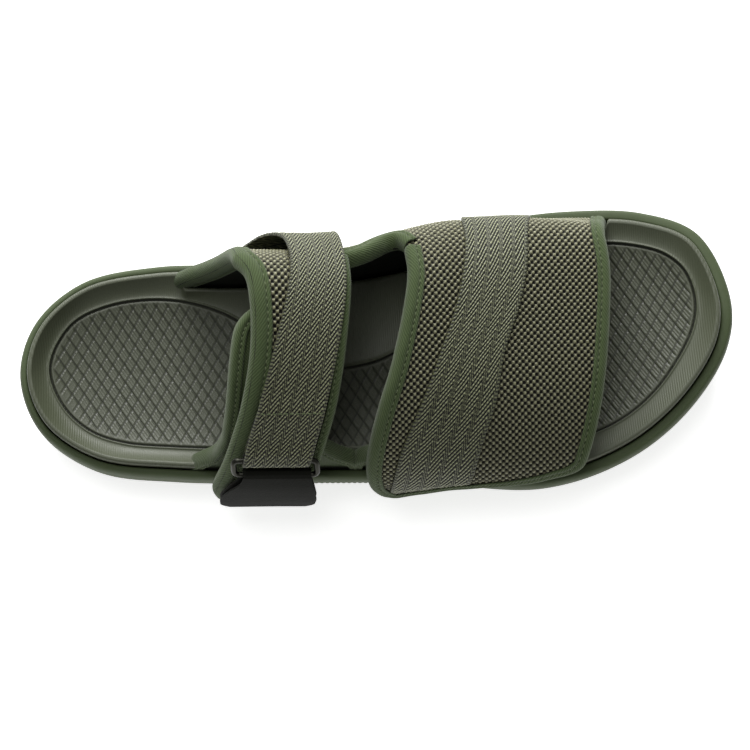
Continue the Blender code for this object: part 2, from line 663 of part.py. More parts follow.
def build_front_flap():
    places = flap_places(FRONT_HEEL, FRONT_TOE, FOLD + FOLD_GAP, FRONT_END, END_SLANT,
                         PANEL_ROWS, WIDE_SHARES)
    slab("front_flap_lining", places, LINING, DARK)
    slab("front_flap_padding", places, PADDING, FOAM)
    slab("front_flap_mesh", places, MESH, FABRIC)
    binding("front_flap_binding", rim_of(places), (LINING[0], MESH[1]), FRONT_TAPE, 1, TAPE)
    web = flap_places(FRONT_WEB_HEEL, FRONT_WEB_TOE, FOLD + FOLD_GAP, FRONT_WEB_END, WEB_SLANT,
                      WEB_ROWS, [0, 0.5, 1], *WEB_CORNER)
    slab("front_webbing", web, WEBBING, FABRIC)
    patch("front_hook_patch", places, HOOK_PATCH)


def build_rear_flap():
    places = flap_places(REAR_HEEL, REAR_TOE, FOLD + FOLD_GAP, REAR_END, REAR_SLANT,
                         PANEL_ROWS, EDGE_SHARES, CORNER_T * SMALL_CORNER,
                         CORNER_X * SMALL_CORNER)
    slab("rear_flap_lining", places, LINING, DARK)
    slab("rear_flap_padding", places, PADDING, FOAM)
    slab("rear_flap_mesh", places, MESH, FABRIC)
    layer = (LINING[0], MESH[1])
    rim = rim_of(places)
    half = len(places) + (len(EDGE_SHARES) - 2)
    binding("rear_heel_binding", rim[:half], layer, REAR_HEEL_TAPE, 1, TAPE)
    binding("rear_toe_binding", rim[half + 1:], layer, REAR_TOE_TAPE, 1, TAPE)
    patch("rear_hook_patch", places, HOOK_PATCH)


def turn_round_bar(place, radius, degrees):
    """Points of (place, height) round one bar of the ring, from its outer side."""
    length = np.linalg.norm(slopes(np.array(place), np.array(RING_MIDDLE_X), False)[0])
    turn = np.radians(degrees)
    return [(place + radius * np.sin(a) / length, RING_HEIGHT + radius * np.cos(a)) for a in turn]


def build_rear_webbing():
    radius = RING_WIRE + GAP + WEBBING_THICKNESS / 2
    run = np.concatenate([np.linspace(FOLD + FOLD_GAP, RISE[-1][0], 12), STRAP_END])
    rise_keys = RISE + [(RISE_END, RING_HEIGHT + radius - STRAP_HEIGHT)]
    rise = np.interp(run, *np.transpose(rise_keys))
    path = [(t, strap_height(t) + up) for t, up in zip(run, rise)]
    path += turn_round_bar(RING_UPPER, radius, [0, 45, 90, 135, 180])
    low = RING_HEIGHT - radius
    path += [(place, low) for place in TURN_BACK]
    strip("rear_webbing", path, WEBBING_THICKNESS, web_edge(REAR_WEB_HEEL),
          web_edge(REAR_WEB_TOE), FABRIC)


def build_ring():
    middle = (RING_UPPER + RING_LOWER) / 2
    half_t = (RING_LOWER - RING_UPPER) / 2
    centre_x = sum(RING_X) / 2
    half_x = (RING_X[1] - RING_X[0]) / 2
    corner_t, corner_x = RING_CORNER
    path = []
    for quarter, (st, sx) in enumerate(((1, 1), (1, -1), (-1, -1), (-1, 1))):
        for a in (np.radians([0, 45, 90]) if quarter % 2 else np.radians([90, 45, 0])):
            path.append((middle + st * (half_t - corner_t * (1 - np.cos(a))),
                         centre_x + sx * (half_x - corner_x * (1 - np.sin(a)))))
    path = np.array(path)
    centre = over(path[:, 0], path[:, 1], RING_HEIGHT)
    normal = slopes(path[:, 0], path[:, 1], False)[2]
    ahead = np.roll(centre, -1, 0) - np.roll(centre, 1, 0)
    ahead /= np.linalg.norm(ahead, axis=1, keepdims=True)
    side = np.cross(ahead, normal)
    side /= np.linalg.norm(side, axis=1, keepdims=True)
    round_wire = np.radians(np.arange(0, 360, 60))
    points = np.stack([centre + RING_WIRE * (np.cos(a) * normal + np.sin(a) * side)
                       for a in round_wire], 1)
    count, size = points.shape[:2]
    faces = [(i * size + k, i * size + (k + 1) % size,
              (i + 1) % count * size + (k + 1) % size, (i + 1) % count * size + k)
             for i in range(count) for k in range(size)]
    add_node("rear_ring", points.reshape(-1, 3), faces, METAL, 0.35, 1.0)


def build_tab():
    radius = RING_WIRE + GAP + TAB_THICKNESS / 2
    turn = turn_round_bar(RING_LOWER, radius, [0, -45, -90, -135, -180])
    strip("pull_tab", TAB_OUTER + turn + TAB_INNER, TAB_THICKNESS,
          lambda t: TAB_X[0] - through(TAB_FLARE, t) + through(TAB_SKEW, t),
          lambda t: TAB_X[1] + through(TAB_FLARE, t) + through(TAB_SKEW, t), DARK)


def hang_on(name, place, x, height, nodes):
    """An empty on the joint's axis, with the moving pieces' origins on it."""
    spot = over(np.array(place), np.array(x), np.array(height)) * MM
    pivot = bpy.data.objects.new(name, None)
    pivot.location = spot
    bpy.context.scene.collection.objects.link(pivot)
    for node in nodes:
        piece = bpy.data.objects[node]
        piece.data.transform(Matrix.Translation(-Vector(spot)))
        piece.parent = pivot


clear_scene()
build_sole()
build_wall()
build_bases()
build_front_flap()
build_rear_flap()
build_rear_webbing()
build_ring()
build_tab()
hang_on("front_flap_hinge", FOLD, sum(FRONT_FOLD_X) / 2, FRONT_AXIS_HEIGHT,
        ["front_flap_lining", "front_flap_padding", "front_flap_mesh", "front_flap_binding",
         "front_webbing", "front_hook_patch"])
hang_on("rear_flap_hinge", FOLD, sum(REAR_FOLD_X) / 2, REAR_AXIS_HEIGHT,
        ["rear_flap_lining", "rear_flap_padding", "rear_flap_mesh", "rear_heel_binding",
         "rear_toe_binding", "rear_webbing", "rear_hook_patch", "rear_ring"])
hang_on("pull_tab_hinge", RING_LOWER, sum(TAB_X) / 2, RING_HEIGHT, ["pull_tab"])
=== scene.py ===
"""Looks of the strappy sport sandal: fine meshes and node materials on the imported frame.

Lengths are in millimetres here, in the frame's axes: +X heel to toe, +Y medial, +Z up.
"""

import bpy
import numpy as np
from mathutils import Matrix, Vector
from mathutils.kdtree import KDTree


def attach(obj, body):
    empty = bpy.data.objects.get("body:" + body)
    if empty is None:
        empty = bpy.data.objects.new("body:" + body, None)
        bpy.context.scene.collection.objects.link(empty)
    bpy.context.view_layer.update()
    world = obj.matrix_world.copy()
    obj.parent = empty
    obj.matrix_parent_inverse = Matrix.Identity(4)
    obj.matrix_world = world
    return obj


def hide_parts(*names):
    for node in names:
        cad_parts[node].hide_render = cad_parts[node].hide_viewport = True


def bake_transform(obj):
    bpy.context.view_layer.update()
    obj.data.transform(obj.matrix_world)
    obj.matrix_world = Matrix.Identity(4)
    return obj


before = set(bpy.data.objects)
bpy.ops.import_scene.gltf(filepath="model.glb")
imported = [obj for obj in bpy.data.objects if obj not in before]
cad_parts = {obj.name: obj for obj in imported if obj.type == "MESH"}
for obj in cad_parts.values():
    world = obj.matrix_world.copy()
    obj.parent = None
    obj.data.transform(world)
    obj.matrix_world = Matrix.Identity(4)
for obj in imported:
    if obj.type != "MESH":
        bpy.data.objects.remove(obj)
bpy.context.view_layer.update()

MM = 0.001
GAP = 0.3
TAU = 2 * np.pi

# Sole, as in the frame
OUTLINE = [
    (-145.5, 1), (-138.5, 23), (-119, 39), (-88, 44), (-45, 41.8), (-8, 41.5), (35, 50),
    (58, 54.9), (84, 56.3), (113, 52.9), (135, 41.5), (145.7, 13), (142.5, -7.6),
    (125, -31.4), (99, -49.2), (64, -58.2), (15, -52.6), (-40, -48.6), (-85, -45),
    (-117, -38.6), (-138.5, -22),
]
SAMPLES_PER_SPAN = 16
HEEL_X, TOE_X = -145.5, 145.7
TOE_SPRING, TOE_ROLL_START = 9.0, 70.0
HEEL_LIFT, HEEL_ROLL_START = 2.5, -118.0
OUTSOLE_THICKNESS = 4.0
CUP_FLOOR = 9.0
RIM_HEIGHT, RIM_FALL = 28.0, 0.020
CREST_RISE = 3.5
ARCH_RISE, ARCH_CENTRE_X, ARCH_HALF_LENGTH = 5.0, -20.0, 45.0
PAD_HEIGHT, PAD_FALL = 26.0, 0.010
RIM_HEEL, RIM_TOE = 3.4, 5.2
# How far the sole spreads past the foot's line on the lateral side
FLARE = [(-10, 0.0), (15, 0.1), (40, 2.2), (64, 4.2), (90, 4.6)]
SLOT_MEDIAL, SLOT_LATERAL = (-92.0, 104.0), (-91.0, 89.0)
# Where the insert stands back for the upper; it closes over the ends of the CAD's slots
OPEN_MEDIAL, OPEN_LATERAL, OPEN_FADE = (-77.5, 99.4), (-72.5, 80.0), 1.6
SLOT_FADE, SLOT_OUTER, PANEL_THICKNESS, SLOT_WIDTH = 6.0, 0.9, 4.7, 7.0
# Textured pad in the footbed: heel oval, lateral waist and forefoot
PAD_OUTLINE = [
    (-133, 4), (-130, 13), (-122, 22.8), (-108, 28.4), (-91, 29.8), (-75, 27.4), (-60, 21.2),
    (-46, 11), (-32, 1), (-20, -3.8), (-8, -3.8), (6, 0), (24, 14), (45, 27), (70, 37),
    (95, 40.5), (111, 37.7), (121, 33.2), (128, 25.5), (131, 13), (129, 2), (122, -10.5),
    (110, -24.4), (95, -34.4), (75, -40.5), (45, -43.5), (10, -42), (-20, -39), (-55, -35),
    (-86, -31.8), (-104, -29), (-117, -23.8), (-126.5, -15), (-132, -4),
]
PAD_SPLIT_X, PAD_FLOOR = -25.0, 19.0
INSERT_GAP = 0.3
DIAMOND_X, DIAMOND_Y = 4.8, 7.6

# Arch over the foot, as in the frame
BASE_LEVEL, ARCH_HEIGHT, ARCH_FALL = 30.0, 78.5, 0.23
DEGREE = 3
MEDIAL_INSET = 6.5
SLOT_LEVELS = (13, 24, 36)
WAIST_SHIFT = [(-24, -3.5), (-8, -2.6), (10, 0.2), (30, 0.2), (50, -3.6), (75, -7.6), (104, -10)]
SHOULDER_SHIFT = [(-24, -4), (-8, -3.6), (10, -1), (30, -1.2), (50, -5.8), (75, -9.6),
                  (104, -12.6)]
CROWN_MEDIAL = [(0.62, 1.06), (0.17, 1.08)]
CROWN_LATERAL = [(0.40, 0.94), (0.76, 0.66)]
WAIST_LEVEL, SHOULDER_LEVEL, FLANK_LEVEL, HEM_LEVEL = 0.45, 0.82, 0.36, 0.12
TUCKED_FLANK_LEVEL = 0.38
END_X = [-70, -26, 0, 40, 80]
END_OUT = [4.5, 3.0, 2.2, -2.6, -5.0]
END_Z = [19, 19, 18, 28, 32]
HEM_PULL = 4.0

# Layers, as heights over the arch's inner face
LINING = (0.0, 0.9)
PANEL_TOP = 4.7
WEBBING_BOTTOM, WEBBING_TOP = 5.0, 6.2
WEBBING_THICKNESS = 1.2
BASE_BOTTOM, BASE_TOP = -7.5, -3.5
LINING_UNDERSIDE, WALL_UNDERSIDE, FLAP_UNDERSIDE = LINING[0] - 0.1, 1.1, 1.3
BASE_LINING_TOP, BASE_UNDERSIDE = -6.5, -6.4
WALL_CROWN, FLAP_CROWN, PRESSED_TOP = 0.35, 0.45, PANEL_TOP - 0.05
LOOP_PATCH, HOOK_PATCH = (-3.4, -2.1), (-1.3, 0.1)
FOLD_OVER = 0.6
PATCH_T = (0.66, 0.85)

# Where the fixed wall ends and the flaps begin to bend
SEAM_T, BEND_T = 0.385, (0.39, 0.50)
FOLD_T = 0.40
APEX_T = 0.5175

# About how many millimetres round the arch one unit of place is
ROUND = 230.0
WALL_START_T, BASE_START_T = 0.012, 0.992

# Edges of the panels: (place round the arch, X)
REAR_HEEL = [(0.40, -52), (0.45, -47.8), (0.53, -46), (0.60, -46.6), (0.70, -51.2),
             (0.80, -57.7), (0.90, -64), (1.0, -70.5)]
REAR_TOE = [(0.40, -10), (0.50, -10.3), (0.60, -13.2), (0.70, -18), (0.80, -24), (0.90, -29.6),
            (1.0, -34)]
FRONT_HEEL = [(0.40, 15), (0.47, 15.3), (0.55, 12.5), (0.63, 7.5), (0.72, 0.5), (0.80, -3.8),
              (0.88, -5.7), (1.0, -3)]
FRONT_TOE = [(0.40, 92), (0.50, 92.4), (0.60, 90), (0.70, 86.3), (0.80, 82), (0.90, 77.5),
             (1.0, 73)]
WALL_HEEL = [(0.0, -81), (0.07, -80), (0.11, -76), (0.16, -69), (0.23, -61), (0.31, -55),
             (0.40, -52)]
WALL_TOE = [(0.0, 96), (0.12, 95.4), (0.25, 93.6), (0.40, 92)]
REAR_BASE_HEEL = [(0.52, -45.5), (0.583, -51.4), (0.638, -54), (0.718, -57), (0.792, -59.8),
                  (0.855, -62.6), (0.922, -69), (0.95, -75), (1.0, -83)]
REAR_BASE_TOE = [(0.52, -23.5), (0.70, -25.5), (0.80, -25.5), (0.87, -23), (0.91, -18),
                 (0.94, -12.2), (1.0, -12)]
FRONT_BASE_HEEL = [(0.62, 24), (0.72, 12), (0.80, 5), (0.87, -1), (0.91, -6), (0.94, -11.4),
                   (1.0, -11.6)]
FRONT_BASE_TOE = [(0.62, 64), (0.72, 70), (0.80, 72.5), (0.90, 74), (1.0, 75)]
REAR_WEB_HEEL = [(0.06, -66), (0.12, -63), (0.20, -55), (0.27, -45), (0.33, -36), (0.40, -32.4),
                 (0.53, -35), (0.615, -40.5), (0.70, -47), (0.782, -53), (0.87, -57.5)]
REAR_WEB_TOE = [(0.06, -35), (0.12, -30), (0.20, -22), (0.30, -13), (0.40, -10.8), (0.53, -12.2),
                (0.618, -16.3), (0.70, -21.4), (0.782, -26.8), (0.87, -32.3)]
FRONT_WEB_HEEL = [(0.05, 41), (0.20, 38.5), (0.325, 37), (0.408, 37), (0.478, 35), (0.555, 30.5),
                  (0.635, 22.5), (0.72, 14), (0.807, 7), (0.93, 2.5), (0.98, 1)]
FRONT_WEB_TOE = [(0.05, 68), (0.20, 66), (0.362, 63), (0.425, 61.5), (0.49, 60), (0.56, 55.5),
                 (0.623, 49), (0.703, 44.5), (0.785, 39), (0.897, 34.5), (0.98, 31.5)]
SCOOP = [(-10.5, 0.0), (-6, 0.006), (-2, 0.015), (3, 0.035), (8, 0.055), (12, 0.045), (15.5, 0.0)]
FLAP_END = 0.985
FRONT_SLANT, REAR_SLANT = 0.055, 0.025
CORNER, REAR_CORNER, BASE_CORNER = (0.05, 8.0), (0.035, 5.6), (0.07, 9.8)
# Widths of the folded tapes
FRONT_TAPE, REAR_HEEL_TAPE, REAR_TOE_TAPE, SCOOP_TAPE, BASE_TAPE = 4.6, 6.4, 2.6, 4.2, 3.6

# Ring and pull tab
RING_UPPER, RING_LOWER, RING_HEIGHT, RING_WIRE = 0.815, 0.853, 9.0, 1.1
RING_X, TAB_X, TAB_THICKNESS = (-58.6, -26.4), (-56.4, -28.6), 1.0
TAB_FLARE = [(0.80, 0.0), (0.868, 0.0), (0.90, 3.2), (0.945, 5.0), (0.960, 4.0), (0.968, 1.2)]
# The tab hangs with its free end further to the heel
TAB_SKEW = [(0.80, 0.0), (0.868, 0.0), (0.90, -2.2), (0.945, -4.2), (0.968, -4.8)]
TAB_OUTER = [(0.968, 9.4), (0.960, 9.6), (0.945, 9.9), (0.912, 10.2), (0.88, 10.7)]
TAB_INNER = [(0.87, 7.4), (0.885, 8.0), (0.912, 8.5), (0.945, 8.2), (0.960, 7.9), (0.968, 7.8)]
STRAP_HEIGHT, STRAP_LIFT, LIFT_CENTRE, LIFT_SPREAD = 7.3, 4.2, 0.30, 0.08
TURN_BACK = (0.79, 0.768, 0.745, 0.72)
RING_MIDDLE_X = -42.5

# Fabric scales
HOLE_PITCH = 2.6
FINE, WEAVE = 0.34, 0.26
STITCH_PITCH, BASE_RIB_PITCH = 2.4, 1.3
RIDGE_HEIGHT, RIDGE_SINK = 0.34, 0.2
FRONT_WEB_WIDTH, FRONT_WEB_SLANT = 27.5, 0.035
INNER_STEP = 4


# ---------------------------------------------------------------- curves and the arch

def through(keys, t):
    """A smooth curve through keys of (place, value)."""
    keys = np.asarray(keys, float)
    place, value = keys[:, 0], keys[:, 1]
    slope = np.gradient(value, place)
    t = np.clip(t, place[0], place[-1])
    i = np.clip(np.searchsorted(place, t, side="right") - 1, 0, len(place) - 2)
    step = place[i + 1] - place[i]
    s = (t - place[i]) / step
    start = (2 * s**3 - 3 * s**2 + 1) * value[i] + (s**3 - 2 * s**2 + s) * step * slope[i]
    end = (3 * s**2 - 2 * s**3) * value[i + 1] + (s**3 - s**2) * step * slope[i + 1]
    return start + end


def unit(vectors):
    return vectors / np.linalg.norm(vectors, axis=-1, keepdims=True)


def run_along(points):
    """How far along a line each of its points is."""
    return np.concatenate([[0], np.cumsum(np.linalg.norm(np.diff(points, axis=0), axis=1))])


def planned(*values):
    """Pattern coordinates: distance along, distance across, and nothing."""
    return np.stack([*values, np.zeros_like(values[1])], -1)


def tree_of(line):
    tree = KDTree(len(line))
    for k, (x, y) in enumerate(line):
        tree.insert((x, y, 0), k)
    tree.balance()
    return tree


def closed_curve(points, per_span):
    """Centripetal spline through the corners of a closed outline."""
    points = np.asarray(points, float)
    count = len(points)
    s = (np.arange(per_span) / per_span)[:, None]
    found = []
    for i in range(count):
        before, start, end, after = (points[(i + k) % count] for k in (-1, 0, 1, 2))
        lead = np.linalg.norm(start - before) ** 0.5
        span = np.linalg.norm(end - start) ** 0.5
        tail = np.linalg.norm(after - end) ** 0.5
        leave = (start - before) / lead - (end - before) / (lead + span) + (end - start) / span
        arrive = (end - start) / span - (after - start) / (span + tail) + (after - end) / tail
        found.append((2 * s**3 - 3 * s**2 + 1) * start + (s**3 - 2 * s**2 + s) * span * leave
                     + (3 * s**2 - 2 * s**3) * end + (s**3 - s**2) * span * arrive)
    return np.concatenate(found)


def evenly(points, count, closed=False):
    """The same line with this many evenly spaced points."""
    line = np.concatenate([points, points[:1]]) if closed else points
    run = run_along(line)
    wanted = np.linspace(0, run[-1], count + 1 if closed else count)[:count]
    return np.stack([np.interp(wanted, run, line[:, k]) for k in range(line.shape[1])], -1)


def halves(line):
    """The medial and the lateral side of a closed outline, each heel to toe."""
    heel = line[:, 0].argmin()
    order = np.roll(np.arange(len(line)), -heel)
    toe = line[order][:, 0].argmax()
    medial, lateral = line[order[:toe + 1]], line[np.append(order[toe:], order[0])][::-1]
    return (medial, lateral) if medial[:, 1].mean() > lateral[:, 1].mean() else (lateral, medial)


PLAN = closed_curve(OUTLINE, SAMPLES_PER_SPAN)
PLAN_SIDES = halves(PLAN)
PAD_LINE = closed_curve(PAD_OUTLINE, 40)
PAD_SIDES = halves(PAD_LINE)


def plan_y(x, side):
    edge = PLAN_SIDES[0 if side > 0 else 1]
    return np.interp(x, edge[:, 0], edge[:, 1])


def ground_rise(x):
    toe = np.clip((x - TOE_ROLL_START) / (TOE_X - TOE_ROLL_START), 0, None)
    heel = np.clip((HEEL_ROLL_START - x) / (HEEL_ROLL_START - HEEL_X), 0, None)
    return TOE_SPRING * toe**2 + HEEL_LIFT * heel**2


def flare(x):
    return np.interp(x, *np.transpose(FLARE))


def plain_rim(x):
    return RIM_HEEL + (RIM_TOE - RIM_HEEL) * (x - HEEL_X) / (TOE_X - HEEL_X)


def rim_width(x, side):
    return plain_rim(x) + flare(x) * in_slot(x, side) * (side < 0)


def rim_top(x):
    return RIM_HEIGHT - RIM_FALL * x + ground_rise(x)


def pad_top(x):
    return PAD_HEIGHT - PAD_FALL * x + ground_rise(x)


def in_slot(x, side, medial=SLOT_MEDIAL, lateral=SLOT_LATERAL, fade=SLOT_FADE):
    low, high = (np.where(side > 0, m, v) for m, v in zip(medial, lateral))
    return np.clip((x - low) / fade, 0, 1) * np.clip((high - x) / fade, 0, 1)


def bend_weights(t, count):
    """Cubic weights of each control point at place t, from 0 at the medial end to 1."""
    inner = np.linspace(0, 1, count - DEGREE + 1)
    knots = np.concatenate([np.zeros(DEGREE), inner, np.ones(DEGREE)])
    t = np.clip(t, 0, 1 - 1e-9)
    weights = [((t >= knots[i]) & (t < knots[i + 1])).astype(float) for i in range(len(knots) - 1)]
    for order in range(1, DEGREE + 1):
        raised = []
        for i in range(len(weights) - 1):
            left = knots[i + order] - knots[i]
            right = knots[i + order + 1] - knots[i + 1]
            a = (t - knots[i]) / left if left > 0 else 0
            b = (knots[i + order + 1] - t) / right if right > 0 else 0
            raised.append(a * weights[i] + b * weights[i + 1])
        weights = raised
    return weights


def arch(t, x, tucked=False):
    """The arch's inner face. A tucked arch ends in the lateral slot, a plain one outside it."""
    t, x = np.broadcast_arrays(np.asarray(t, float), np.asarray(x, float))
    medial = plan_y(x, 1) - MEDIAL_INSET
    foot = plan_y(x, 1) - rim_width(x, 1) - SLOT_OUTER - PANEL_THICKNESS
    lateral = -plan_y(x, -1) - flare(x)
    height = ARCH_HEIGHT - ARCH_FALL * x - BASE_LEVEL
    waist = through(WAIST_SHIFT, x)
    shoulder = through(SHOULDER_SHIFT, x)
    profile = [(foot, level) for level in SLOT_LEVELS]
    profile += [(medial + waist, BASE_LEVEL + WAIST_LEVEL * height),
                (medial + shoulder, BASE_LEVEL + SHOULDER_LEVEL * height)]
    profile += [(w * medial, BASE_LEVEL + h * height) for w, h in CROWN_MEDIAL]
    profile += [(-w * lateral, BASE_LEVEL + h * height) for w, h in CROWN_LATERAL]
    if tucked:
        sunk = -plan_y(x, -1) - rim_width(x, -1) - SLOT_OUTER - BASE_TOP
        profile += [(1.5 - sunk, BASE_LEVEL + TUCKED_FLANK_LEVEL * height),
                    (-sunk, BASE_LEVEL), (-sunk, SLOT_LEVELS[0])]
    else:
        end_y = lateral + np.interp(x, END_X, END_OUT)
        pull = HEM_PULL * np.clip(x / END_X[-1], 0, 1)
        profile += [(-0.97 * lateral - 1, BASE_LEVEL + FLANK_LEVEL * height),
                    (pull - lateral - 1.5, BASE_LEVEL + HEM_LEVEL * height),
                    (-end_y, np.interp(x, END_X, END_Z))]
    weights = bend_weights(t, len(profile))
    y = sum(w * p[0] for w, p in zip(weights, profile))
    z = sum(w * p[1] for w, p in zip(weights, profile))
    return np.stack([x, y, z], -1)


def slopes(t, x, tucked=False):
    """Changes of position per unit place and per millimetre of X, and the outward normal."""
    ahead, behind = np.clip(t + 1e-3, 0, 1), np.clip(t - 1e-3, 0, 1)
    along = (arch(ahead, x, tucked) - arch(behind, x, tucked)) / (ahead - behind)[..., None]
    forward = arch(t, x + 0.5, tucked) - arch(t, x - 0.5, tucked)
    return along, forward, unit(np.cross(along, forward))


def over(t, x, height, tucked=False):
    """A point at this height over the arch."""
    t, x, height = np.broadcast_arrays(t, x, height)
    return arch(t, x, tucked) + slopes(t, x, tucked)[2] * height[..., None]


ARC_T = np.linspace(0, 1, 401)
ARC_X = np.arange(-110, 121, 5.0)


def arc_table(tucked):
    points = arch(ARC_T[:, None], ARC_X[None], tucked)
    steps = np.linalg.norm(np.diff(points, axis=0), axis=-1)
    run = np.concatenate([np.zeros((1, len(ARC_X))), np.cumsum(steps, axis=0)])
    return run - run[np.abs(ARC_T - APEX_T).argmin()]


ARC = {tucked: arc_table(tucked) for tucked in (False, True)}


def run_of(t, x, tucked=False):
    """Distance round the arch from its top, in millimetres."""
    table = ARC[tucked]
    t, x = np.broadcast_arrays(np.asarray(t, float), np.asarray(x, float))
    i = np.clip(t * (len(ARC_T) - 1), 0, len(ARC_T) - 1.001)
    j = np.clip((x - ARC_X[0]) / (ARC_X[1] - ARC_X[0]), 0, len(ARC_X) - 1.001)
    a, b = i.astype(int), j.astype(int)
    f, g = i - a, j - b
    near = table[a, b] * (1 - f) + table[a + 1, b] * f
    far = table[a, b + 1] * (1 - f) + table[a + 1, b + 1] * f
    return near * (1 - g) + far * g


def rows_between(start, end, x, pitch, tucked=False):
    """Places round the arch at an even pitch, in a number of steps that INNER_STEP divides."""
    t = np.linspace(start, end, 300)
    run = run_of(t, x, tucked)
    steps = INNER_STEP * max(1, round(abs(run[-1] - run[0]) / pitch / INNER_STEP))
    wanted = np.linspace(0, 1, steps + 1) * (run[-1] - run[0])
    return np.interp(np.abs(wanted), np.abs(run - run[0]), t)


def smooth_step(value, low, high):
    share = np.clip((value - low) / (high - low), 0, 1)
    return share * share * (3 - 2 * share)


def waver(a, b, scale):
    """Slow, repeatable unevenness between about -1 and 1."""
    return (np.sin(a / scale + 1.3 * np.sin(b / scale * 0.7 + 0.4)) * 0.6
            + np.sin(b / scale * 1.37 + 1.1 * np.sin(a / scale * 0.61 + 2.0)) * 0.4)


# ---------------------------------------------------------------- meshes

def make(name, points, groups, look, flat=(), **attributes):
    """An object from points in millimetres and groups of equal faces, turned to face out."""
    groups = [np.asarray(g, int) for g in groups if len(g)]
    points = np.asarray(points, float)
    volume = 0.0
    for g in groups:
        for k in range(1, g.shape[1] - 1):
            a, b, c = points[g[:, 0]], points[g[:, k]], points[g[:, k + 1]]
            volume += np.einsum("ij,ij->", a, np.cross(b, c))
    if volume < 0:
        groups = [g[:, ::-1] for g in groups]
    corners = np.concatenate([g.ravel() for g in groups]).astype(np.int32)
    sizes = np.concatenate([np.full(len(g), g.shape[1]) for g in groups])
    starts = np.concatenate([[0], np.cumsum(sizes)[:-1]]).astype(np.int32)
    smooth = np.concatenate([np.full(len(g), k not in flat) for k, g in enumerate(groups)])
    mesh = bpy.data.meshes.new(name)
    mesh.vertices.add(len(points))
    mesh.vertices.foreach_set("co", (points * MM).astype(np.float32).ravel())
    mesh.loops.add(len(corners))
    mesh.loops.foreach_set("vertex_index", corners)
    mesh.polygons.add(len(sizes))
    mesh.polygons.foreach_set("loop_start", starts)
    mesh.update(calc_edges=True)
    mesh.polygons.foreach_set("use_smooth", smooth)
    for key, value in attributes.items():
        value = np.asarray(value, np.float32)
        kind = "FLOAT_VECTOR" if value.ndim > 1 else "FLOAT"
        held = mesh.attributes.new(key, kind, "POINT")
        held.data.foreach_set("vector" if value.ndim > 1 else "value", value.ravel())
    mesh.materials.append(look)
    piece = bpy.data.objects.new(name, mesh)
    bpy.context.scene.collection.objects.link(piece)
    return piece


def grid_quads(rows, cols, start=0):
    a = (np.arange(rows - 1)[:, None] * cols + np.arange(cols - 1)[None]).ravel() + start
    return np.stack([a, a + 1, a + cols + 1, a + cols], -1)


def rim_indices(rows, cols, start=0):
    first = np.arange(cols)
    right = np.arange(1, rows) * cols + cols - 1
    last = (rows - 1) * cols + np.arange(cols - 2, -1, -1)
    left = np.arange(rows - 2, 0, -1) * cols
    return np.concatenate([first, right, last, left]) + start


def slab_groups(rows, cols, step=INNER_STEP):
    """A fine grid over a coarse one, joined round the rim."""
    inner_rows, inner_cols = (rows - 1) // step + 1, (cols - 1) // step + 1
    size = rows * cols
    top = grid_quads(rows, cols)
    low = grid_quads(inner_rows, inner_cols, size)[:, ::-1]
    rim, under = rim_indices(rows, cols), rim_indices(inner_rows, inner_cols, size)
    count = len(under)
    k = np.arange(count)
    fine = rim[(k[:, None] * step + np.arange(step, -1, -1)[None]) % len(rim)]
    side = np.concatenate([fine, under[k][:, None], under[(k + 1) % count][:, None]], 1)
    return [top, low, side]


def joined(fine, coarse):
    """Two grids of values as one list."""
    width = fine.shape[2:]
    return np.concatenate([fine.reshape(-1, *width), coarse.reshape(-1, *width)])


def two_faced(name, top, bottom, look, **attributes):
    """A closed sheet: a grid of points above, and a coarser one below at every INNER_STEP."""
    held = {key: joined(value, value[::INNER_STEP, ::INNER_STEP])
            for key, value in attributes.items()}
    return make(name, joined(top, bottom), slab_groups(*top.shape[:2]), look, flat=(1, 2),
                **held)


def slab(name, places, high, low, look, tucked=False, st=None, **attributes):
    """A panel on the arch: a fine upper face with its own relief, and a plain lower one."""
    t, x = places[..., 0], places[..., 1]
    top = over(t, x, high, tucked)
    inner = places[::INNER_STEP, ::INNER_STEP]
    bottom = over(inner[..., 0], inner[..., 1], np.asarray(float(low)), tucked)
    if st is None:
        st = planned(run_of(t, x, tucked), x)
    return two_faced(name, top, bottom, look, st=st, **attributes)


def panel_places(edges, counts, start, end, pitch, slant=0.0, corner=(0, 0), tucked=False):
    """Rows and columns of (place, X) between edges that run round the arch."""
    corner_t, corner_x = corner
    span = end - start
    lines = [(lambda t, e=e: through(e, t)) if isinstance(e, list) else e for e in edges]
    middle = (start + end) / 2
    centre_x = (lines[0](np.array(middle)) + lines[-1](np.array(middle))) / 2
    stop = end - np.sign(span) * corner_t
    u = (rows_between(start, stop, centre_x, pitch, tucked) - start) / span
    trim = np.zeros(len(u))
    if corner_t:
        turn = np.linspace(0, np.pi / 2, 4 * INNER_STEP + 1)[1:]
        u = np.concatenate([u, 1 - corner_t / abs(span) * (1 - np.sin(turn))])
        trim = np.concatenate([trim, corner_x * (1 - np.cos(turn))])
    zone = np.concatenate([np.full(n, k) for k, n in enumerate(counts)] + [[len(counts) - 1]])
    share = np.concatenate([np.arange(n) / n for n in counts] + [[1.0]])
    ends = np.array([float(line(np.array(end))) for line in lines])
    across = ends[zone] + (ends[zone + 1] - ends[zone]) * share
    across = (across - ends[0]) / (ends[-1] - ends[0])
    t = start + span * u[:, None] - slant * u[:, None] ** 2 * across[None]
    values = np.stack([line(t) for line in lines])
    column = np.arange(len(zone))
    x = values[zone, :, column].T * (1 - share) + values[zone + 1, :, column].T * share
    low, high = values[0], values[-1]
    squeeze = (high - low - 2 * trim[:, None]) / (high - low)
    return np.stack([t, low + trim[:, None] + (x - low) * squeeze], -1)


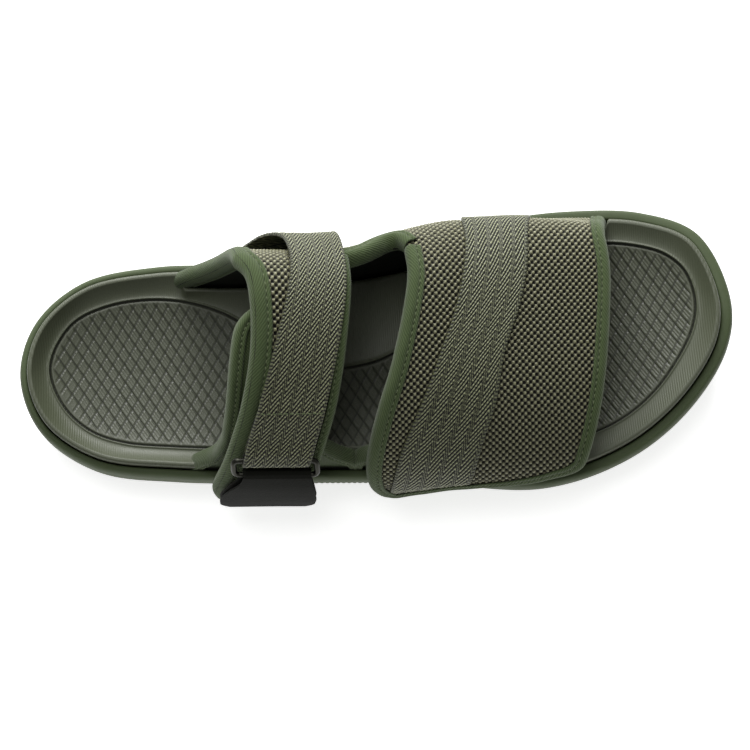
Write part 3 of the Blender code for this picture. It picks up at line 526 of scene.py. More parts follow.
def rim_of(places):
    """The free edge of a panel: down the heel side, across the end, up the toe side."""
    return np.concatenate([places[:, 0], places[-1, 1:-1], places[::-1, -1]])


def even_path(path, step, tucked=False, soften=0):
    """A line of (place, X) with an even step in millimetres."""
    if soften:
        kernel = np.hanning(soften + 2)[1:-1]
        kernel /= kernel.sum()
        padded = np.concatenate([np.repeat(path[:1], soften, 0), path,
                                 np.repeat(path[-1:], soften, 0)])
        path = np.stack([np.convolve(padded[:, k], kernel, "same") for k in (0, 1)], -1)
        path = path[soften:-soften]
    points = arch(path[:, 0], path[:, 1], tucked)
    run = run_along(points)
    keep = np.concatenate([[True], np.diff(run) > 1e-6])
    run, path = run[keep], path[keep]
    wanted = np.arange(0, run[-1], step)
    return np.stack([np.interp(wanted, run, path[:, k]) for k in (0, 1)], -1)


def sweep_groups(count, size):
    """Faces of a closed section swept along an open line, and its two end caps."""
    i, k = np.meshgrid(np.arange(count - 1), np.arange(size), indexing="ij")
    i, k = i.ravel(), k.ravel()
    m = (k + 1) % size
    sides = np.stack([i * size + k, i * size + m, (i + 1) * size + m, (i + 1) * size + k], -1)
    caps = np.stack([np.arange(size)[::-1], (count - 1) * size + np.arange(size)])
    return [sides, caps]


def stitches(centres, ahead, up, length, radius, start):
    """Short rounded threads: points, and faces numbered from start."""
    ahead = unit(ahead)
    side = unit(np.cross(ahead, up))
    along = np.array([-1, -0.85, -0.45, 0.45, 0.85, 1]) * length / 2
    swell = np.array([0.25, 0.75, 1, 1, 0.75, 0.25]) * radius
    lift = np.array([-0.9, -0.3, 0.25, 0.25, -0.3, -0.9]) * radius
    turn = np.linspace(0, TAU, 6, endpoint=False)
    centre = centres[:, None] + ahead[:, None] * along[None, :, None]
    centre = centre + up[:, None] * lift[None, :, None]
    ring = (np.cos(turn)[None, None, :, None] * up[:, None, None]
            + np.sin(turn)[None, None, :, None] * side[:, None, None])
    points = centre[:, :, None] + ring * swell[None, :, None, None]
    count, rings, size = points.shape[:3]
    sides, caps = sweep_groups(rings, size)
    shift = (start + np.arange(count) * rings * size)[:, None, None]
    return (points.reshape(-1, 3), (sides[None] + shift).reshape(-1, 4),
            (caps[None] + shift).reshape(-1, size))


def wound_out(points, quads):
    a, b, c, d = (points[quads[:, k]] for k in range(4))
    volume = np.einsum("ij,ij->", a, np.cross(b, c)) + np.einsum("ij,ij->", a, np.cross(c, d))
    return volume > 0


# ---------------------------------------------------------------- materials

def srgb(red, green, blue):
    return tuple(((c / 255 + 0.055) / 1.055) ** 2.4 for c in (red, green, blue)) + (1.0,)


class Look:
    """A node material. Numbers that are the same all over sit on the shader's own sockets."""

    def __init__(self, name, roughness, **fixed):
        self.made = bpy.data.materials.new(name)
        self.made.use_nodes = True
        self.tree = self.made.node_tree
        self.shader = self.tree.nodes["Principled BSDF"]
        self.shader.inputs["Roughness"].default_value = roughness
        for socket, value in fixed.items():
            self.shader.inputs[socket.replace("_", " ")].default_value = value

    def node(self, kind, inputs=None, **settings):
        made = self.tree.nodes.new("ShaderNode" + kind)
        for key, value in settings.items():
            setattr(made, key, value)
        for key, value in (inputs or {}).items():
            if isinstance(value, bpy.types.NodeSocket):
                self.tree.links.new(value, made.inputs[key])
            else:
                made.inputs[key].default_value = value
        return made

    def math(self, operation, *values):
        return self.node("Math", dict(enumerate(values)), operation=operation).outputs[0]

    def mix(self, share, a, b, blend_type="MIX"):
        mixed = self.node("Mix", {0: share, 6: a, 7: b}, data_type="RGBA", blend_type=blend_type)
        return mixed.outputs[2]

    def held(self, name):
        found = self.node("Attribute", attribute_name=name)
        return found.outputs["Vector" if name == "st" else "Fac"]

    def place(self):
        return self.node("TexCoord").outputs["Object"]

    def noise(self, where, scale, detail=3.0):
        found = self.node("TexNoise", {"Vector": where, "Scale": scale, "Detail": detail})
        return found.outputs["Fac"]

    def stretch(self, where, scale, turn=0.0):
        inputs = {"Vector": where, "Scale": scale, "Rotation": (0, 0, turn)}
        return self.node("Mapping", inputs).outputs[0]

    def ribs(self, where, scale, distortion=0.0, direction="X"):
        inputs = {"Vector": where, "Scale": scale, "Distortion": distortion, "Detail": 1.0}
        return self.node("TexWave", inputs, bands_direction=direction).outputs["Fac"]

    def span(self, value, low, high):
        inputs = {"Value": value, "To Min": low, "To Max": high}
        return self.node("MapRange", inputs).outputs[0]

    def finish(self, colour, height=None, depth=0.0001, rough=None):
        self.tree.links.new(colour, self.shader.inputs["Base Color"])
        if rough is not None:
            self.tree.links.new(rough, self.shader.inputs["Roughness"])
        if height is not None:
            bump = self.node("Bump", {"Height": height, "Strength": 1.0, "Distance": depth})
            self.tree.links.new(bump.outputs[0], self.shader.inputs["Normal"])
        return self.made


def tone(look, where, colour, light, dark, scale, fine_scale):
    """Colour with slow and fine unevenness."""
    slow = look.noise(where, scale, 3.0)
    fine = look.noise(where, fine_scale, 2.0)
    found = look.mix(look.span(slow, 0.15, 0.85), colour, light)
    return look.mix(look.span(fine, -0.35, 0.75), found, dark)


def mesh_look():
    look = Look("spacer_mesh_yarn", 0.5, Sheen_Weight=0.03, Sheen_Roughness=0.4,
                Specular_IOR_Level=0.5)
    st, hole, glint = look.held("st"), look.held("hole"), look.held("glint")
    yarn = tone(look, st, srgb(90, 92, 63), srgb(108, 104, 74), srgb(64, 67, 43), 0.12, 1.6)
    # Painted highlight: the raised yarns are lightened towards a pale colour.
    yarn = look.mix(glint, yarn, srgb(172, 172, 136))
    # Painted shade: the mesh's holes are painted near-black, on top of their sunk geometry.
    colour = look.mix(look.math("POWER", hole, 0.6), yarn, srgb(2, 2, 1))
    twist = look.ribs(look.stretch(st, (1, 1, 1), 0.7), 0.6, 2.0)
    return look.finish(colour, twist, 0.00006, look.span(hole, 0.42, 1.0))


def webbing_look():
    look = Look("herringbone_webbing_yarn", 0.4, Sheen_Weight=0.03, Sheen_Roughness=0.35,
                Specular_IOR_Level=0.6)
    st, gap_shade, line = look.held("st"), look.held("hole"), look.held("glint")
    yarn = tone(look, st, srgb(80, 84, 55), srgb(94, 97, 66), srgb(60, 64, 40), 0.15, 1.2)
    # Painted highlight: line lightens the ridges of the weave towards a pale colour.
    yarn = look.mix(line, yarn, srgb(156, 160, 120))
    # Painted shade: the gaps between the ridges are painted near-black.
    colour = look.mix(look.math("POWER", gap_shade, 0.6), yarn, srgb(3, 3, 1))
    fibre = look.noise(look.stretch(st, (6, 1.5, 1)), 2.2, 3.0)
    return look.finish(colour, fibre, 0.00005, look.span(gap_shade, 0.42, 0.9))


def tape_look():
    look = Look("fine_knit_tape", 0.85, Sheen_Weight=0.12, Sheen_Roughness=0.5,
                Specular_IOR_Level=0.2)
    st, hole, thread = look.held("st"), look.held("hole"), look.held("glint")
    twill = look.ribs(look.stretch(st, (1, 1, 1), 0.9), 0.34, 2.2)
    colour = tone(look, st, srgb(54, 66, 39), srgb(64, 77, 46), srgb(36, 45, 24), 0.1, 2.4)
    colour = look.mix(look.math("MULTIPLY", look.span(twill, 0.0, 1.0), 0.42), colour,
                      srgb(88, 103, 66))
    # Painted shade: dark at the stitch holes, along the tape's edge and over its inner faces.
    colour = look.mix(hole, colour, srgb(16, 18, 11))
    colour = look.mix(thread, colour, srgb(124, 134, 100))
    return look.finish(colour, twill, 0.00013)


def lining_look():
    look = Look("dark_lining_knit", 0.9, Specular_IOR_Level=0.1)
    st = look.held("st")
    knit = look.ribs(look.stretch(st, (1, 1, 1), 0.4), 0.24, 1.2)
    colour = tone(look, st, srgb(22, 23, 19), srgb(30, 31, 26), srgb(13, 14, 11), 0.08, 1.5)
    colour = look.mix(look.span(knit, 0.0, 0.5), colour, srgb(36, 37, 31))
    return look.finish(colour, knit, 0.00008)


def insert_look(name, plain, ribs):
    look = Look(name, 0.5, Specular_IOR_Level=0.5)
    where = look.place()
    grain = look.noise(where, 2600.0, 3.0)
    worn, hole = look.noise(where, 35.0, 4.0), look.held("hole")
    colour = look.mix(look.span(worn, 0.1, 0.8), srgb(*plain), srgb(*(c + 9 for c in plain)))
    colour = look.mix(look.span(grain, -0.3, 0.6), colour, srgb(*(c - 14 for c in plain)))
    # Painted shade: darker in the grooves, in the gap beside the band and under the pad's lip.
    colour = look.mix(hole, colour, srgb(26, 28, 20))
    height = look.span(grain, 0.0, 0.35)
    if ribs:
        height = look.math("ADD", height, look.ribs(where, 350.0))
    rough = look.span(look.noise(where, 90.0, 2.0), 0.38, 0.6)
    return look.finish(colour, height, 0.00005, rough)


def band_look():
    look = Look("midsole_foam", 0.66, Specular_IOR_Level=0.35)
    where = look.place()
    cells, worn = look.noise(where, 3200.0, 3.0), look.noise(where, 28.0, 4.0)
    colour = look.mix(look.span(worn, 0.1, 0.85), srgb(62, 73, 45), srgb(70, 82, 53))
    colour = look.mix(look.span(cells, -0.3, 0.6), colour, srgb(55, 64, 40))
    rough = look.span(look.noise(where, 140.0, 2.0), 0.55, 0.8)
    return look.finish(colour, cells, 0.00005, rough)


def rubber_look():
    look = Look("outsole_rubber", 0.72, Specular_IOR_Level=0.4)
    where = look.place()
    dust, grain = look.noise(where, 60.0, 5.0), look.noise(where, 2200.0, 2.0)
    colour = look.mix(look.span(dust, 0.1, 0.7), srgb(48, 54, 38), srgb(64, 68, 52))
    return look.finish(colour, grain, 0.00008, look.span(dust, 0.6, 0.85))


def pile_look(name, colour):
    look = Look(name, 0.95, Sheen_Weight=0.05, Sheen_Roughness=0.6, Specular_IOR_Level=0.1)
    st = look.held("st")
    loops = look.node("TexVoronoi", {"Vector": st, "Scale": 1.7}).outputs["Distance"]
    # Painted shade: darker between the pile's loops.
    shade = look.mix(look.span(loops, 0.0, 1.0), srgb(*colour), srgb(10, 11, 8))
    shade = look.mix(look.noise(st, 0.4), shade, srgb(*(c + 12 for c in colour)))
    return look.finish(shade, loops, 0.0004)


def metal_look():
    look = Look("dark_plated_ring", 0.3, Metallic=1.0)
    where = look.place()
    rub = look.noise(look.stretch(where, (1, 8, 8)), 900.0, 3.0)
    colour = look.mix(look.span(rub, 0.0, 1.0), srgb(30, 31, 28), srgb(66, 66, 60))
    return look.finish(colour, rub, 0.00003, look.span(rub, 0.18, 0.42))


def microfibre_look():
    look = Look("tab_microfibre", 0.8, Sheen_Weight=0.02, Sheen_Roughness=0.5,
                Specular_IOR_Level=0.12)
    st, thread, hole = look.held("st"), look.held("glint"), look.held("hole")
    nap = look.noise(st, 1.4, 4.0)
    colour = look.mix(look.span(nap, 0.0, 1.0), srgb(11, 12, 8), srgb(19, 21, 14))
    # Painted shade: the sewn box's stitch line is painted near-black.
    colour = look.mix(hole, colour, srgb(2, 2, 1))
    colour = look.mix(thread, colour, srgb(52, 56, 44))
    return look.finish(colour, nap, 0.00015)


MESH, WEB, TAPE, DARK = mesh_look(), webbing_look(), tape_look(), lining_look()
INSERT = insert_look("footbed_foam", (70, 75, 57), True)
PAD_FOAM = insert_look("footbed_pad_foam", (62, 66, 50), False)
BAND, RUBBER = band_look(), rubber_look()
LOOPS, HOOKS = pile_look("loop_pile", (34, 37, 27)), pile_look("hook_pile", (24, 26, 20))
METAL, MICROFIBRE = metal_look(), microfibre_look()


# ---------------------------------------------------------------- sole

def plan_ring(count):
    """Even stations round the sole: plan, inward direction and side."""
    place = evenly(PLAN, count, closed=True)
    ahead = np.roll(place, -1, axis=0) - np.roll(place, 1, axis=0)
    inward = unit(np.stack([ahead[:, 1], -ahead[:, 0]], -1))
    centre = (plan_y(place[:, 0], 1) + plan_y(place[:, 0], -1)) / 2
    side = np.where(place[:, 1] > centre, 1, -1)
    return place, inward, side


def loft(name, rings, look, **attributes):
    """A closed solid from rings in order, capped at both ends."""
    count, size = len(rings), len(rings[0])
    groups = sweep_groups(count, size)
    return make(name, np.concatenate(rings), groups, look, flat=(1,), **attributes)


def build_midsole():
    place, inward, side = plan_ring(1240)
    x = place[:, 0]
    waist = smooth_step(x, -34, -26) * (1 - smooth_step(x, 26, 34)) * (side < 0)
    station = np.arange(len(x))
    profile = [(4.2, 4.3, 0), (2.9, 6.6, 0), (1.9, 9.2, 0), (1.15, 12, 0), (0.62, 15, 0),
               (0.25, 18, 0), (0.05, 20.5, 0)]
    rings = []
    rib = 0.22 * (station % 4 < 2) * waist
    fine = np.array([p[:2] for p in profile])
    for z in np.linspace(4.3, 20.5, 15):
        depth = np.interp(z, fine[:, 1], fine[:, 0])
        notch = rib * smooth_step(z, 6, 8) * (1 - smooth_step(z, 17, 19))
        rings.append((depth + notch, z + ground_rise(x)))
    top = rim_top(x)
    shoulder = [(0.0, -6), (0.02, -4.2), (0.1, -3.0), (0.3, -2.0), (0.6, -1.2), (1.0, -0.55),
                (1.45, -0.18), (1.9, 0.0)]
    for depth, drop in shoulder:
        rings.append((depth, top + drop))
    edge = plain_rim(x)
    for back, drop in ((1.2, 0.0), (0.75, -0.08), (0.4, -0.3), (0.15, -0.7), (0.0, -1.4)):
        rings.append((edge - back, top + drop))
    for z in (16, 12, CUP_FLOOR):
        rings.append((edge, z + ground_rise(x)))
    points = []
    for depth, z in rings:
        flat = place + inward * np.reshape(depth * np.ones(len(x)), (-1, 1))
        points.append(np.column_stack([flat, z]))
    piece = loft("midsole_cup", points, BAND)
    settle(piece, "sole", ["midsole"])


def bowl(x, reach):
    """Height of the pad: dished, higher near its edge."""
    return pad_top(x) + 1.9 - 3.9 * (1 - np.exp(-np.clip(reach, 0, None) / 12.0))


def edge_of_insert(x, side):
    depth = SLOT_WIDTH - INSERT_GAP + flare(x) * (side < 0)
    open_share = in_slot(x, side, OPEN_MEDIAL, OPEN_LATERAL, OPEN_FADE)
    return plain_rim(x) + INSERT_GAP + open_share * depth


def crest(x, side):
    arched = np.clip(1 - ((x - ARCH_CENTRE_X) / ARCH_HALF_LENGTH) ** 2, 0, 1) ** 2
    return rim_top(x) + CREST_RISE + ARCH_RISE * arched * (side > 0)


def build_insert():
    """Footbed outside the pad: a rounded crest, then a slope down to the pad's lip."""
    place, inward, side = plan_ring(1000)
    x = place[:, 0]
    outer = edge_of_insert(x, side)
    inner = place + inward * (outer + 3.0)[:, None]
    dense = evenly(PAD_LINE, 4000, closed=True)
    tree = tree_of(dense)
    nearest = np.array([tree.find((px, py, 0))[1] for px, py in inner], float)
    turn = np.unwrap(nearest / len(dense) * TAU)
    direction = np.sign(turn[-1] - turn[0])
    turn = np.maximum.accumulate(turn * direction)
    kernel = np.hanning(91)
    kernel /= kernel.sum()
    lap = np.concatenate([turn[-100:] - TAU, turn, turn[:100] + TAU])
    turn = np.convolve(lap, kernel, "same")[100:-100] * direction
    index = (turn / TAU * len(dense)) % len(dense)
    ring = np.stack([np.interp(index, np.arange(len(dense)), dense[:, k], period=len(dense))
                     for k in (0, 1)], -1)
    rings, holes = [], []

    def add(flat, z, hole=0.0):
        rings.append(np.column_stack([flat, z * np.ones(len(flat))]))
        holes.append(hole * np.ones(len(flat)))

    top = crest(x, side)
    # Painted shade: the wall down into the gap beside the band is painted dark.
    add(place + inward * outer[:, None], CUP_FLOOR + GAP + ground_rise(x), 1.0)
    add(place + inward * outer[:, None], top - 5.0, 0.8)
    for turned in np.radians(np.linspace(0, 78, 8)):
        depth = outer + 1.3 * (1 - np.cos(turned))
        add(place + inward * depth[:, None], top - 1.3 * (1 - np.sin(turned)))
    start = place + inward * (outer + 1.9)[:, None]
    lip_out = np.linalg.norm(ring - start, axis=1)
    for share in np.linspace(0, 1, 26):
        flat = start + (ring - start) * share * (1 - 1.3 / lip_out)[:, None]
        floor = pad_top(flat[:, 0]) + 2.1
        eased = 1 - (1 - share) ** 1.7
        add(flat, (top + 0.05) * (1 - eased) + floor * eased)
    step = (ring - start) / lip_out[:, None]
    # Painted shade along the foot of the pad's lip and under it.
    for back, rise, hole in ((1.05, 2.25, 0), (0.8, 2.4, 0), (0.55, 2.4, 0), (0.38, 2.05, 0.5),
                             (0.2, 1.2, 1.0), (-0.1, 1.0, 1.0), (-0.6, 1.0, 1.0)):
        flat = ring - step * back
        add(flat, pad_top(flat[:, 0]) + rise, hole)
    spine_x = np.clip(ring[:, 0], -120, 112)
    spine = np.stack([spine_x, 0.04 * spine_x - 4], -1)
    # The underside is painted dark as shade too.
    for share in (0.3, 0.62, 0.9):
        flat = ring + (spine - ring) * share
        add(flat, PAD_FLOOR - 1.0 - share, 1.0)
    piece = loft("footbed_insert", rings, INSERT, hole=np.concatenate(holes))
    settle(piece, "sole", ["footbed"])


def inlay(name, line, x, y, height, floor, look, **attributes):
    """A sheet over a grid of points, cut to an outline: x, y and height are grids."""
    rows, cols = x.shape
    medial, lateral = halves(line)
    flat = np.stack([x.ravel(), y.ravel()], -1)
    top = np.interp(flat[:, 0], medial[:, 0], medial[:, 1])
    low = np.interp(flat[:, 0], lateral[:, 0], lateral[:, 1])
    inside = (flat[:, 1] < top) & (flat[:, 1] > low)
    inside &= (flat[:, 0] > line[:, 0].min()) & (flat[:, 0] < line[:, 0].max())
    quads = grid_quads(rows, cols)
    quads = quads[inside[quads].any(1)]
    used = np.unique(quads)
    renumber = np.full(len(flat), -1)
    renumber[used] = np.arange(len(used))
    quads = renumber[quads]
    flat, inside = flat[used], inside[used]
    tree = tree_of(line)
    found = [tree.find((px, py, 0)) for px, py in flat]
    reach = np.array([f[2] for f in found]) * inside
    at_edge = np.array([f[0][:2] for f in found])
    flat = np.where(inside[:, None], flat, at_edge)
    z = height(flat[:, 0], flat[:, 1], reach)
    count = len(flat)
    ends = np.concatenate([quads[:, [k, (k + 1) % 4]] for k in range(4)])
    key = np.sort(ends, 1)
    _, first, counts = np.unique(key, axis=0, return_index=True, return_counts=True)
    open_edges = ends[first[counts == 1]]
    rim = np.unique(open_edges)
    below = np.full(count, -1)
    below[rim] = count + np.arange(len(rim))
    side = np.stack([open_edges[:, 1], open_edges[:, 0], below[open_edges[:, 0]],
                     below[open_edges[:, 1]]], -1)
    following = dict(zip(open_edges[:, 1].tolist(), open_edges[:, 0].tolist()))
    loop = [open_edges[0, 1]]
    while following[loop[-1]] != loop[0]:
        loop.append(following[loop[-1]])
    base = np.array([below[loop]])
    points = np.concatenate([np.column_stack([flat, z]),
                             np.column_stack([flat[rim], floor(flat[rim, 0])])])
    held = {k: np.concatenate([f(flat[:, 0], flat[:, 1], reach), np.ones(len(rim))])
            for k, f in attributes.items()}
    return make(name, points, [quads, side, base], look, flat=(1, 2), **held)


def near_whole(value):
    return np.abs(value - np.round(value))


def build_pad():
    """Two textured inlays that meet under the rear strap."""
    per_a, per_b = 16, 8
    a = np.arange(-40 * per_a, 40 * per_a + 1) / per_a
    b = np.arange(-40 * per_b, 40 * per_b + 1) / per_b
    a_grid, b_grid = np.meshgrid(a, b, indexing="ij")
    x = (a_grid + b_grid) / 2 * DIAMOND_X
    y = (a_grid - b_grid) / 2 * DIAMOND_Y

    def groove(px, py):
        a_at, b_at = px / DIAMOND_X + py / DIAMOND_Y, px / DIAMOND_X - py / DIAMOND_Y
        near = np.minimum(near_whole(a_at), near_whole(b_at))
        return a_at, np.exp(-(near / 0.06) ** 2), np.exp(-((near - 0.15) / 0.05) ** 2)

    def height(px, py, reach):
        a_at, cut, bead = groove(px, py)
        fades = smooth_step(reach, 0.6, 2.6)
        fine = 0.09 * np.cos(TAU * 4 * a_at) * (1 - cut)
        lip = 0.9 * (1 - smooth_step(reach, 0.0, 0.9))
        return bowl(px, reach) + fades * (fine + 0.16 * bead - 0.5 * cut) - lip

    # Painted shade: dark in the grooves and round the pad's edge.
    def hole(px, py, reach):
        cut = groove(px, py)[1]
        return np.maximum(0.75 * cut * smooth_step(reach, 0.6, 2.6),
                          1 - smooth_step(reach, 0.1, 0.7))

    medial, lateral = PAD_SIDES
    for name, low, high in (("footbed_pad_heel", HEEL_X, PAD_SPLIT_X),
                            ("footbed_pad_forefoot", PAD_SPLIT_X, TOE_X)):
        upper = medial[(medial[:, 0] >= low) & (medial[:, 0] <= high)]
        lower = lateral[(lateral[:, 0] >= low) & (lateral[:, 0] <= high)][::-1]
        line = evenly(np.concatenate([upper, lower]), 3000, closed=True)
        near = (x > low - 3) & (x < high + 3) & (np.abs(y) < 52)
        rows, cols = near.any(1), near.any(0)
        gx, gy = x[rows][:, cols], y[rows][:, cols]
        piece = inlay(name, line, gx, gy, height, lambda px: PAD_FLOOR + 0 * px, PAD_FOAM,
                      hole=hole)
        settle(piece, "sole")


def build_outsole():
    """Rubber with shallow wavy grooves across its sole."""
    place, inward, _ = plan_ring(900)
    line = evenly(place + inward * 4.9, 3000, closed=True)
    pitch = 0.75
    gx, gy = np.meshgrid(np.arange(-146, 147, pitch), np.arange(-58, 60, pitch), indexing="ij")

    def height(px, py, reach):
        wave = near_whole((px + 3.0 * np.sin(py / 4.2)) / 9.0) * 9.0
        cut = (1 - smooth_step(wave, 0.7, 1.3)) * smooth_step(reach, 5.0, 6.5)
        round_edge = 1.1 * (1 - smooth_step(reach, 0.0, 1.6))
        return ground_rise(px) + np.maximum(1.3 * cut, round_edge)

    piece = inlay("outsole_tread", line, gx, gy, height,
                  lambda px: ground_rise(px) + OUTSOLE_THICKNESS, RUBBER)
    settle(piece, "sole", ["outsole"])


# ---------------------------------------------------------------- fabric

def mesh_relief(s, x):
    """Spacer mesh: how open it is, which also sets the holes' painted shade, and where its raised
    yarns get a painted highlight.
    """
    s = s + 0.12 * waver(s, x, 9.0)
    x = x + 0.12 * waver(x, s, 7.0)
    u, v = (x + s) / HOLE_PITCH, (x - s) / HOLE_PITCH
    level = (np.cos(TAU * u) + np.cos(TAU * v)) / 2
    hole = smooth_step(level, -0.22, 0.3)
    leaning = 0.6 + 0.4 * np.cos(TAU * v + 0.9)
    yarn = smooth_step(-level, -0.1, 0.75) * leaning
    return hole, yarn


def panel_top(t, x, rim, crown):
    """Height of a mesh face: relief, a soft crown and a pinch at its edges; also the holes'
    painted shade and the yarns' painted highlight.
    """
    hole, yarn = mesh_relief(run_of(t, x), x)
    pinch = 1 - smooth_step(rim, 0.0, 7.0)
    height = PANEL_TOP + crown * (1 - pinch) - 0.25 * pinch + 0.22 * yarn - 0.85 * hole
    return height, hole, yarn * (1 - hole) * 0.8


def bend_points(edges):
    """Where a flap starts and stops bending, in metres, at the middle of its fold."""
    x = sum(edges) / 2
    return [tuple(over(np.array(t), np.array(x), np.array(3.0)) * MM) for t in BEND_T]


FRONT_BEND = bend_points((15.0, 92.0))
REAR_BEND = bend_points((-52.0, -10.0))


def settle(piece, body, nodes=(), bends=False):
    """Puts a piece on its body, in place of its CAD nodes; a piece that bends is left unparented,
    with its transform baked in.
    """
    if bends:
        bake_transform(piece)
    else:
        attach(piece, body)
    if nodes:
        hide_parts(*nodes)


def edge_distance(places):
    """Distance of each point from the sides and the free end, roughly, in millimetres."""
    x = places[..., 1]
    side = np.minimum(x - x[:, :1], x[:, -1:] - x)
    run = run_of(places[..., 0], x)
    return np.minimum(side, np.abs(run[-1:] - run))


def wall_places(pitch):
    """Rows and columns of the fixed wall, with its top dipping at the scoop."""
    low, high = -94.5, 96.5
    columns = INNER_STEP * round((high - low) / pitch / INNER_STEP)
    share = np.linspace(0, 1, columns + 1)
    rows = INNER_STEP * round(76 / pitch / INNER_STEP)
    u = np.linspace(0, 1, rows + 1)[:, None]
    t = WALL_START_T + (SEAM_T - WALL_START_T) * u * np.ones(len(share))
    for _ in range(6):
        x = through(WALL_HEEL, t) + (through(WALL_TOE, t) - through(WALL_HEEL, t)) * share
        dip = through(SCOOP, x) * ((x > SCOOP[0][0]) & (x < SCOOP[-1][0]))
        top = np.minimum(SEAM_T, FOLD_T - 0.004 - dip)
        t = WALL_START_T + (top - WALL_START_T) * u
    return np.stack([t, x], -1)


def under_strap(t, x, high, heel, toe):
    """Presses the mesh down where a strap lies on it."""
    inside = np.minimum(x - through(heel, t), through(toe, t) - x)
    pressed = np.minimum(high, PRESSED_TOP)
    return high + (pressed - high) * smooth_step(inside, -0.5, 0.1)


def build_wall():
    places = wall_places(0.5)
    t, x = places[..., 0], places[..., 1]
    rim = np.minimum(x - x[:, :1], x[:, -1:] - x)
    high, hole, glint = panel_top(t, x, rim, WALL_CROWN)
    high = under_strap(t, x, high, FRONT_WEB_HEEL, FRONT_WEB_TOE)
    piece = slab("medial_wall_panel", places, high, WALL_UNDERSIDE, MESH, hole=hole,
                 glint=glint)
    settle(piece, "sole", ["medial_wall_mesh", "medial_wall_padding"])
    places = wall_places(2.0)
    piece = slab("medial_wall_inner", places, LINING[1], LINING_UNDERSIDE, DARK)
    settle(piece, "sole", ["medial_wall_lining"])


def build_flap(name, heel, toe, web_heel, web_toe, counts, slant, corner):
    """Padded panel and lining of one flap."""
    edges = [heel, lambda t: through(web_heel, t) + 2.5, lambda t: through(web_toe, t) - 2.5, toe]
    places = panel_places(edges, counts, SEAM_T, FLAP_END, FINE, slant, corner)
    t, x = places[..., 0], places[..., 1]
    high, hole, glint = panel_top(t, x, edge_distance(places), FLAP_CROWN)
    high = under_strap(t, x, high, web_heel, web_toe)
    body = name + "_flap"
    piece = slab(body + "_panel", places, high, FLAP_UNDERSIDE, MESH, hole=hole, glint=glint)
    settle(piece, body, [body + "_mesh", body + "_padding"], True)
    coarse = panel_places([heel, toe], [96], SEAM_T, FLAP_END, 0.7, slant, corner)
    piece = slab(body + "_inner", coarse, LINING[1], LINING_UNDERSIDE, DARK)
    settle(piece, body, [body + "_lining"], True)
    patch_places = panel_places([lambda t: through(heel, t) + 7, lambda t: through(toe, t) - 7],
                                [48], PATCH_T[0], PATCH_T[1], 0.7)
    piece = slab(name + "_hooks", patch_places, HOOK_PATCH[1], HOOK_PATCH[0], HOOKS)
    settle(piece, body, [name + "_hook_patch"])


def build_base(name, heel, toe, top):
    """Padded base that a flap closes on: cover, lining, edge tape and loop patch."""
    def places_of(columns, pitch):
        return panel_places([heel, toe], [columns], BASE_START_T, top, pitch, 0.0, BASE_CORNER,
                            tucked=True)

    places = places_of(160, 0.5)
    t, x = places[..., 0], places[..., 1]
    run = run_of(t, x, True)
    rib = np.cos(TAU * (x + run) / BASE_RIB_PITCH)
    rim = edge_distance(places)
    high = BASE_TOP + 0.05 * rib - 0.3 * (1 - smooth_step(rim, 0, 4))
    # Painted shade: the rib valleys of the cover are painted darker.
    hole = 0.25 * (0.5 - 0.5 * rib)
    piece = slab(name + "_base_cover", places, high, BASE_UNDERSIDE, TAPE, True,
                 hole=hole, glint=np.zeros_like(hole))
    settle(piece, "sole", [name + "_lateral_base"])
    piece = slab(name + "_base_inner", places_of(24, 2.0), BASE_LINING_TOP, BASE_BOTTOM, DARK,
                 True)
    settle(piece, "sole", [name + "_base_lining"])
    rim = rim_of(places_of(40, 0.5))
    height = arch(rim[:, 0], rim[:, 1], True)[:, 2]
    rim = rim[height > rim_top(rim[:, 1]) - 4.0]
    piece = tape(name + "_base_edge", rim, (BASE_BOTTOM, BASE_TOP), BASE_TAPE, -1, True)
    settle(piece, "sole", [name + "_base_binding"])
    inset = [lambda t: through(heel, t) + 6, lambda t: through(toe, t) - 6]
    patch = panel_places(inset, [64], PATCH_T[1], PATCH_T[0], 0.6, tucked=True)
    t, x = patch[..., 0], patch[..., 1]
    tufts = 0.22 * waver(t * ROUND, x, 0.42)
    piece = slab(name + "_loops", patch, LOOP_PATCH[1] + tufts, LOOP_PATCH[0], LOOPS, True)
    settle(piece, "sole", [name + "_loop_patch"])


def tape_section(width, low, high):
    """(depth past the edge, height) round a folded tape, and which points are the stitch line."""
    middle, half = (low + high) / 2, (high - low) / 2
    face = [(-width, 0.12), (-width + 0.12, 0.45), (-width + 0.5, 0.68), (-width + 1.1, 0.74),
            (-width + 1.5, 0.55), (-width + 1.85, 0.30), (-width + 2.2, 0.55),
            (-width + 2.8, 0.86)]
    if width < 3:
        face = [(-width, 0.1), (-width + 0.15, 0.4), (-width + 0.6, 0.6), (-width + 1.0, 0.3),
                (-width + 1.4, 0.62)]
    stitch = 5 if width >= 3 else 3
    upper = [(d, high + h) for d, h in face]
    lead = upper[-1][0]
    turn = np.radians(np.linspace(90, -90, 15))
    nose = [(lead + (1.6 - lead) * np.cos(a) ** 0.8, middle + (half + 0.95) * np.sin(a))
            for a in turn[1:-1]]
    lower = [(d, low - h) for d, h in face][::-1]
    inside = [(-width, low), (0.25, low), (0.25, high), (-width, high)]
    return upper + nose + lower + inside, stitch


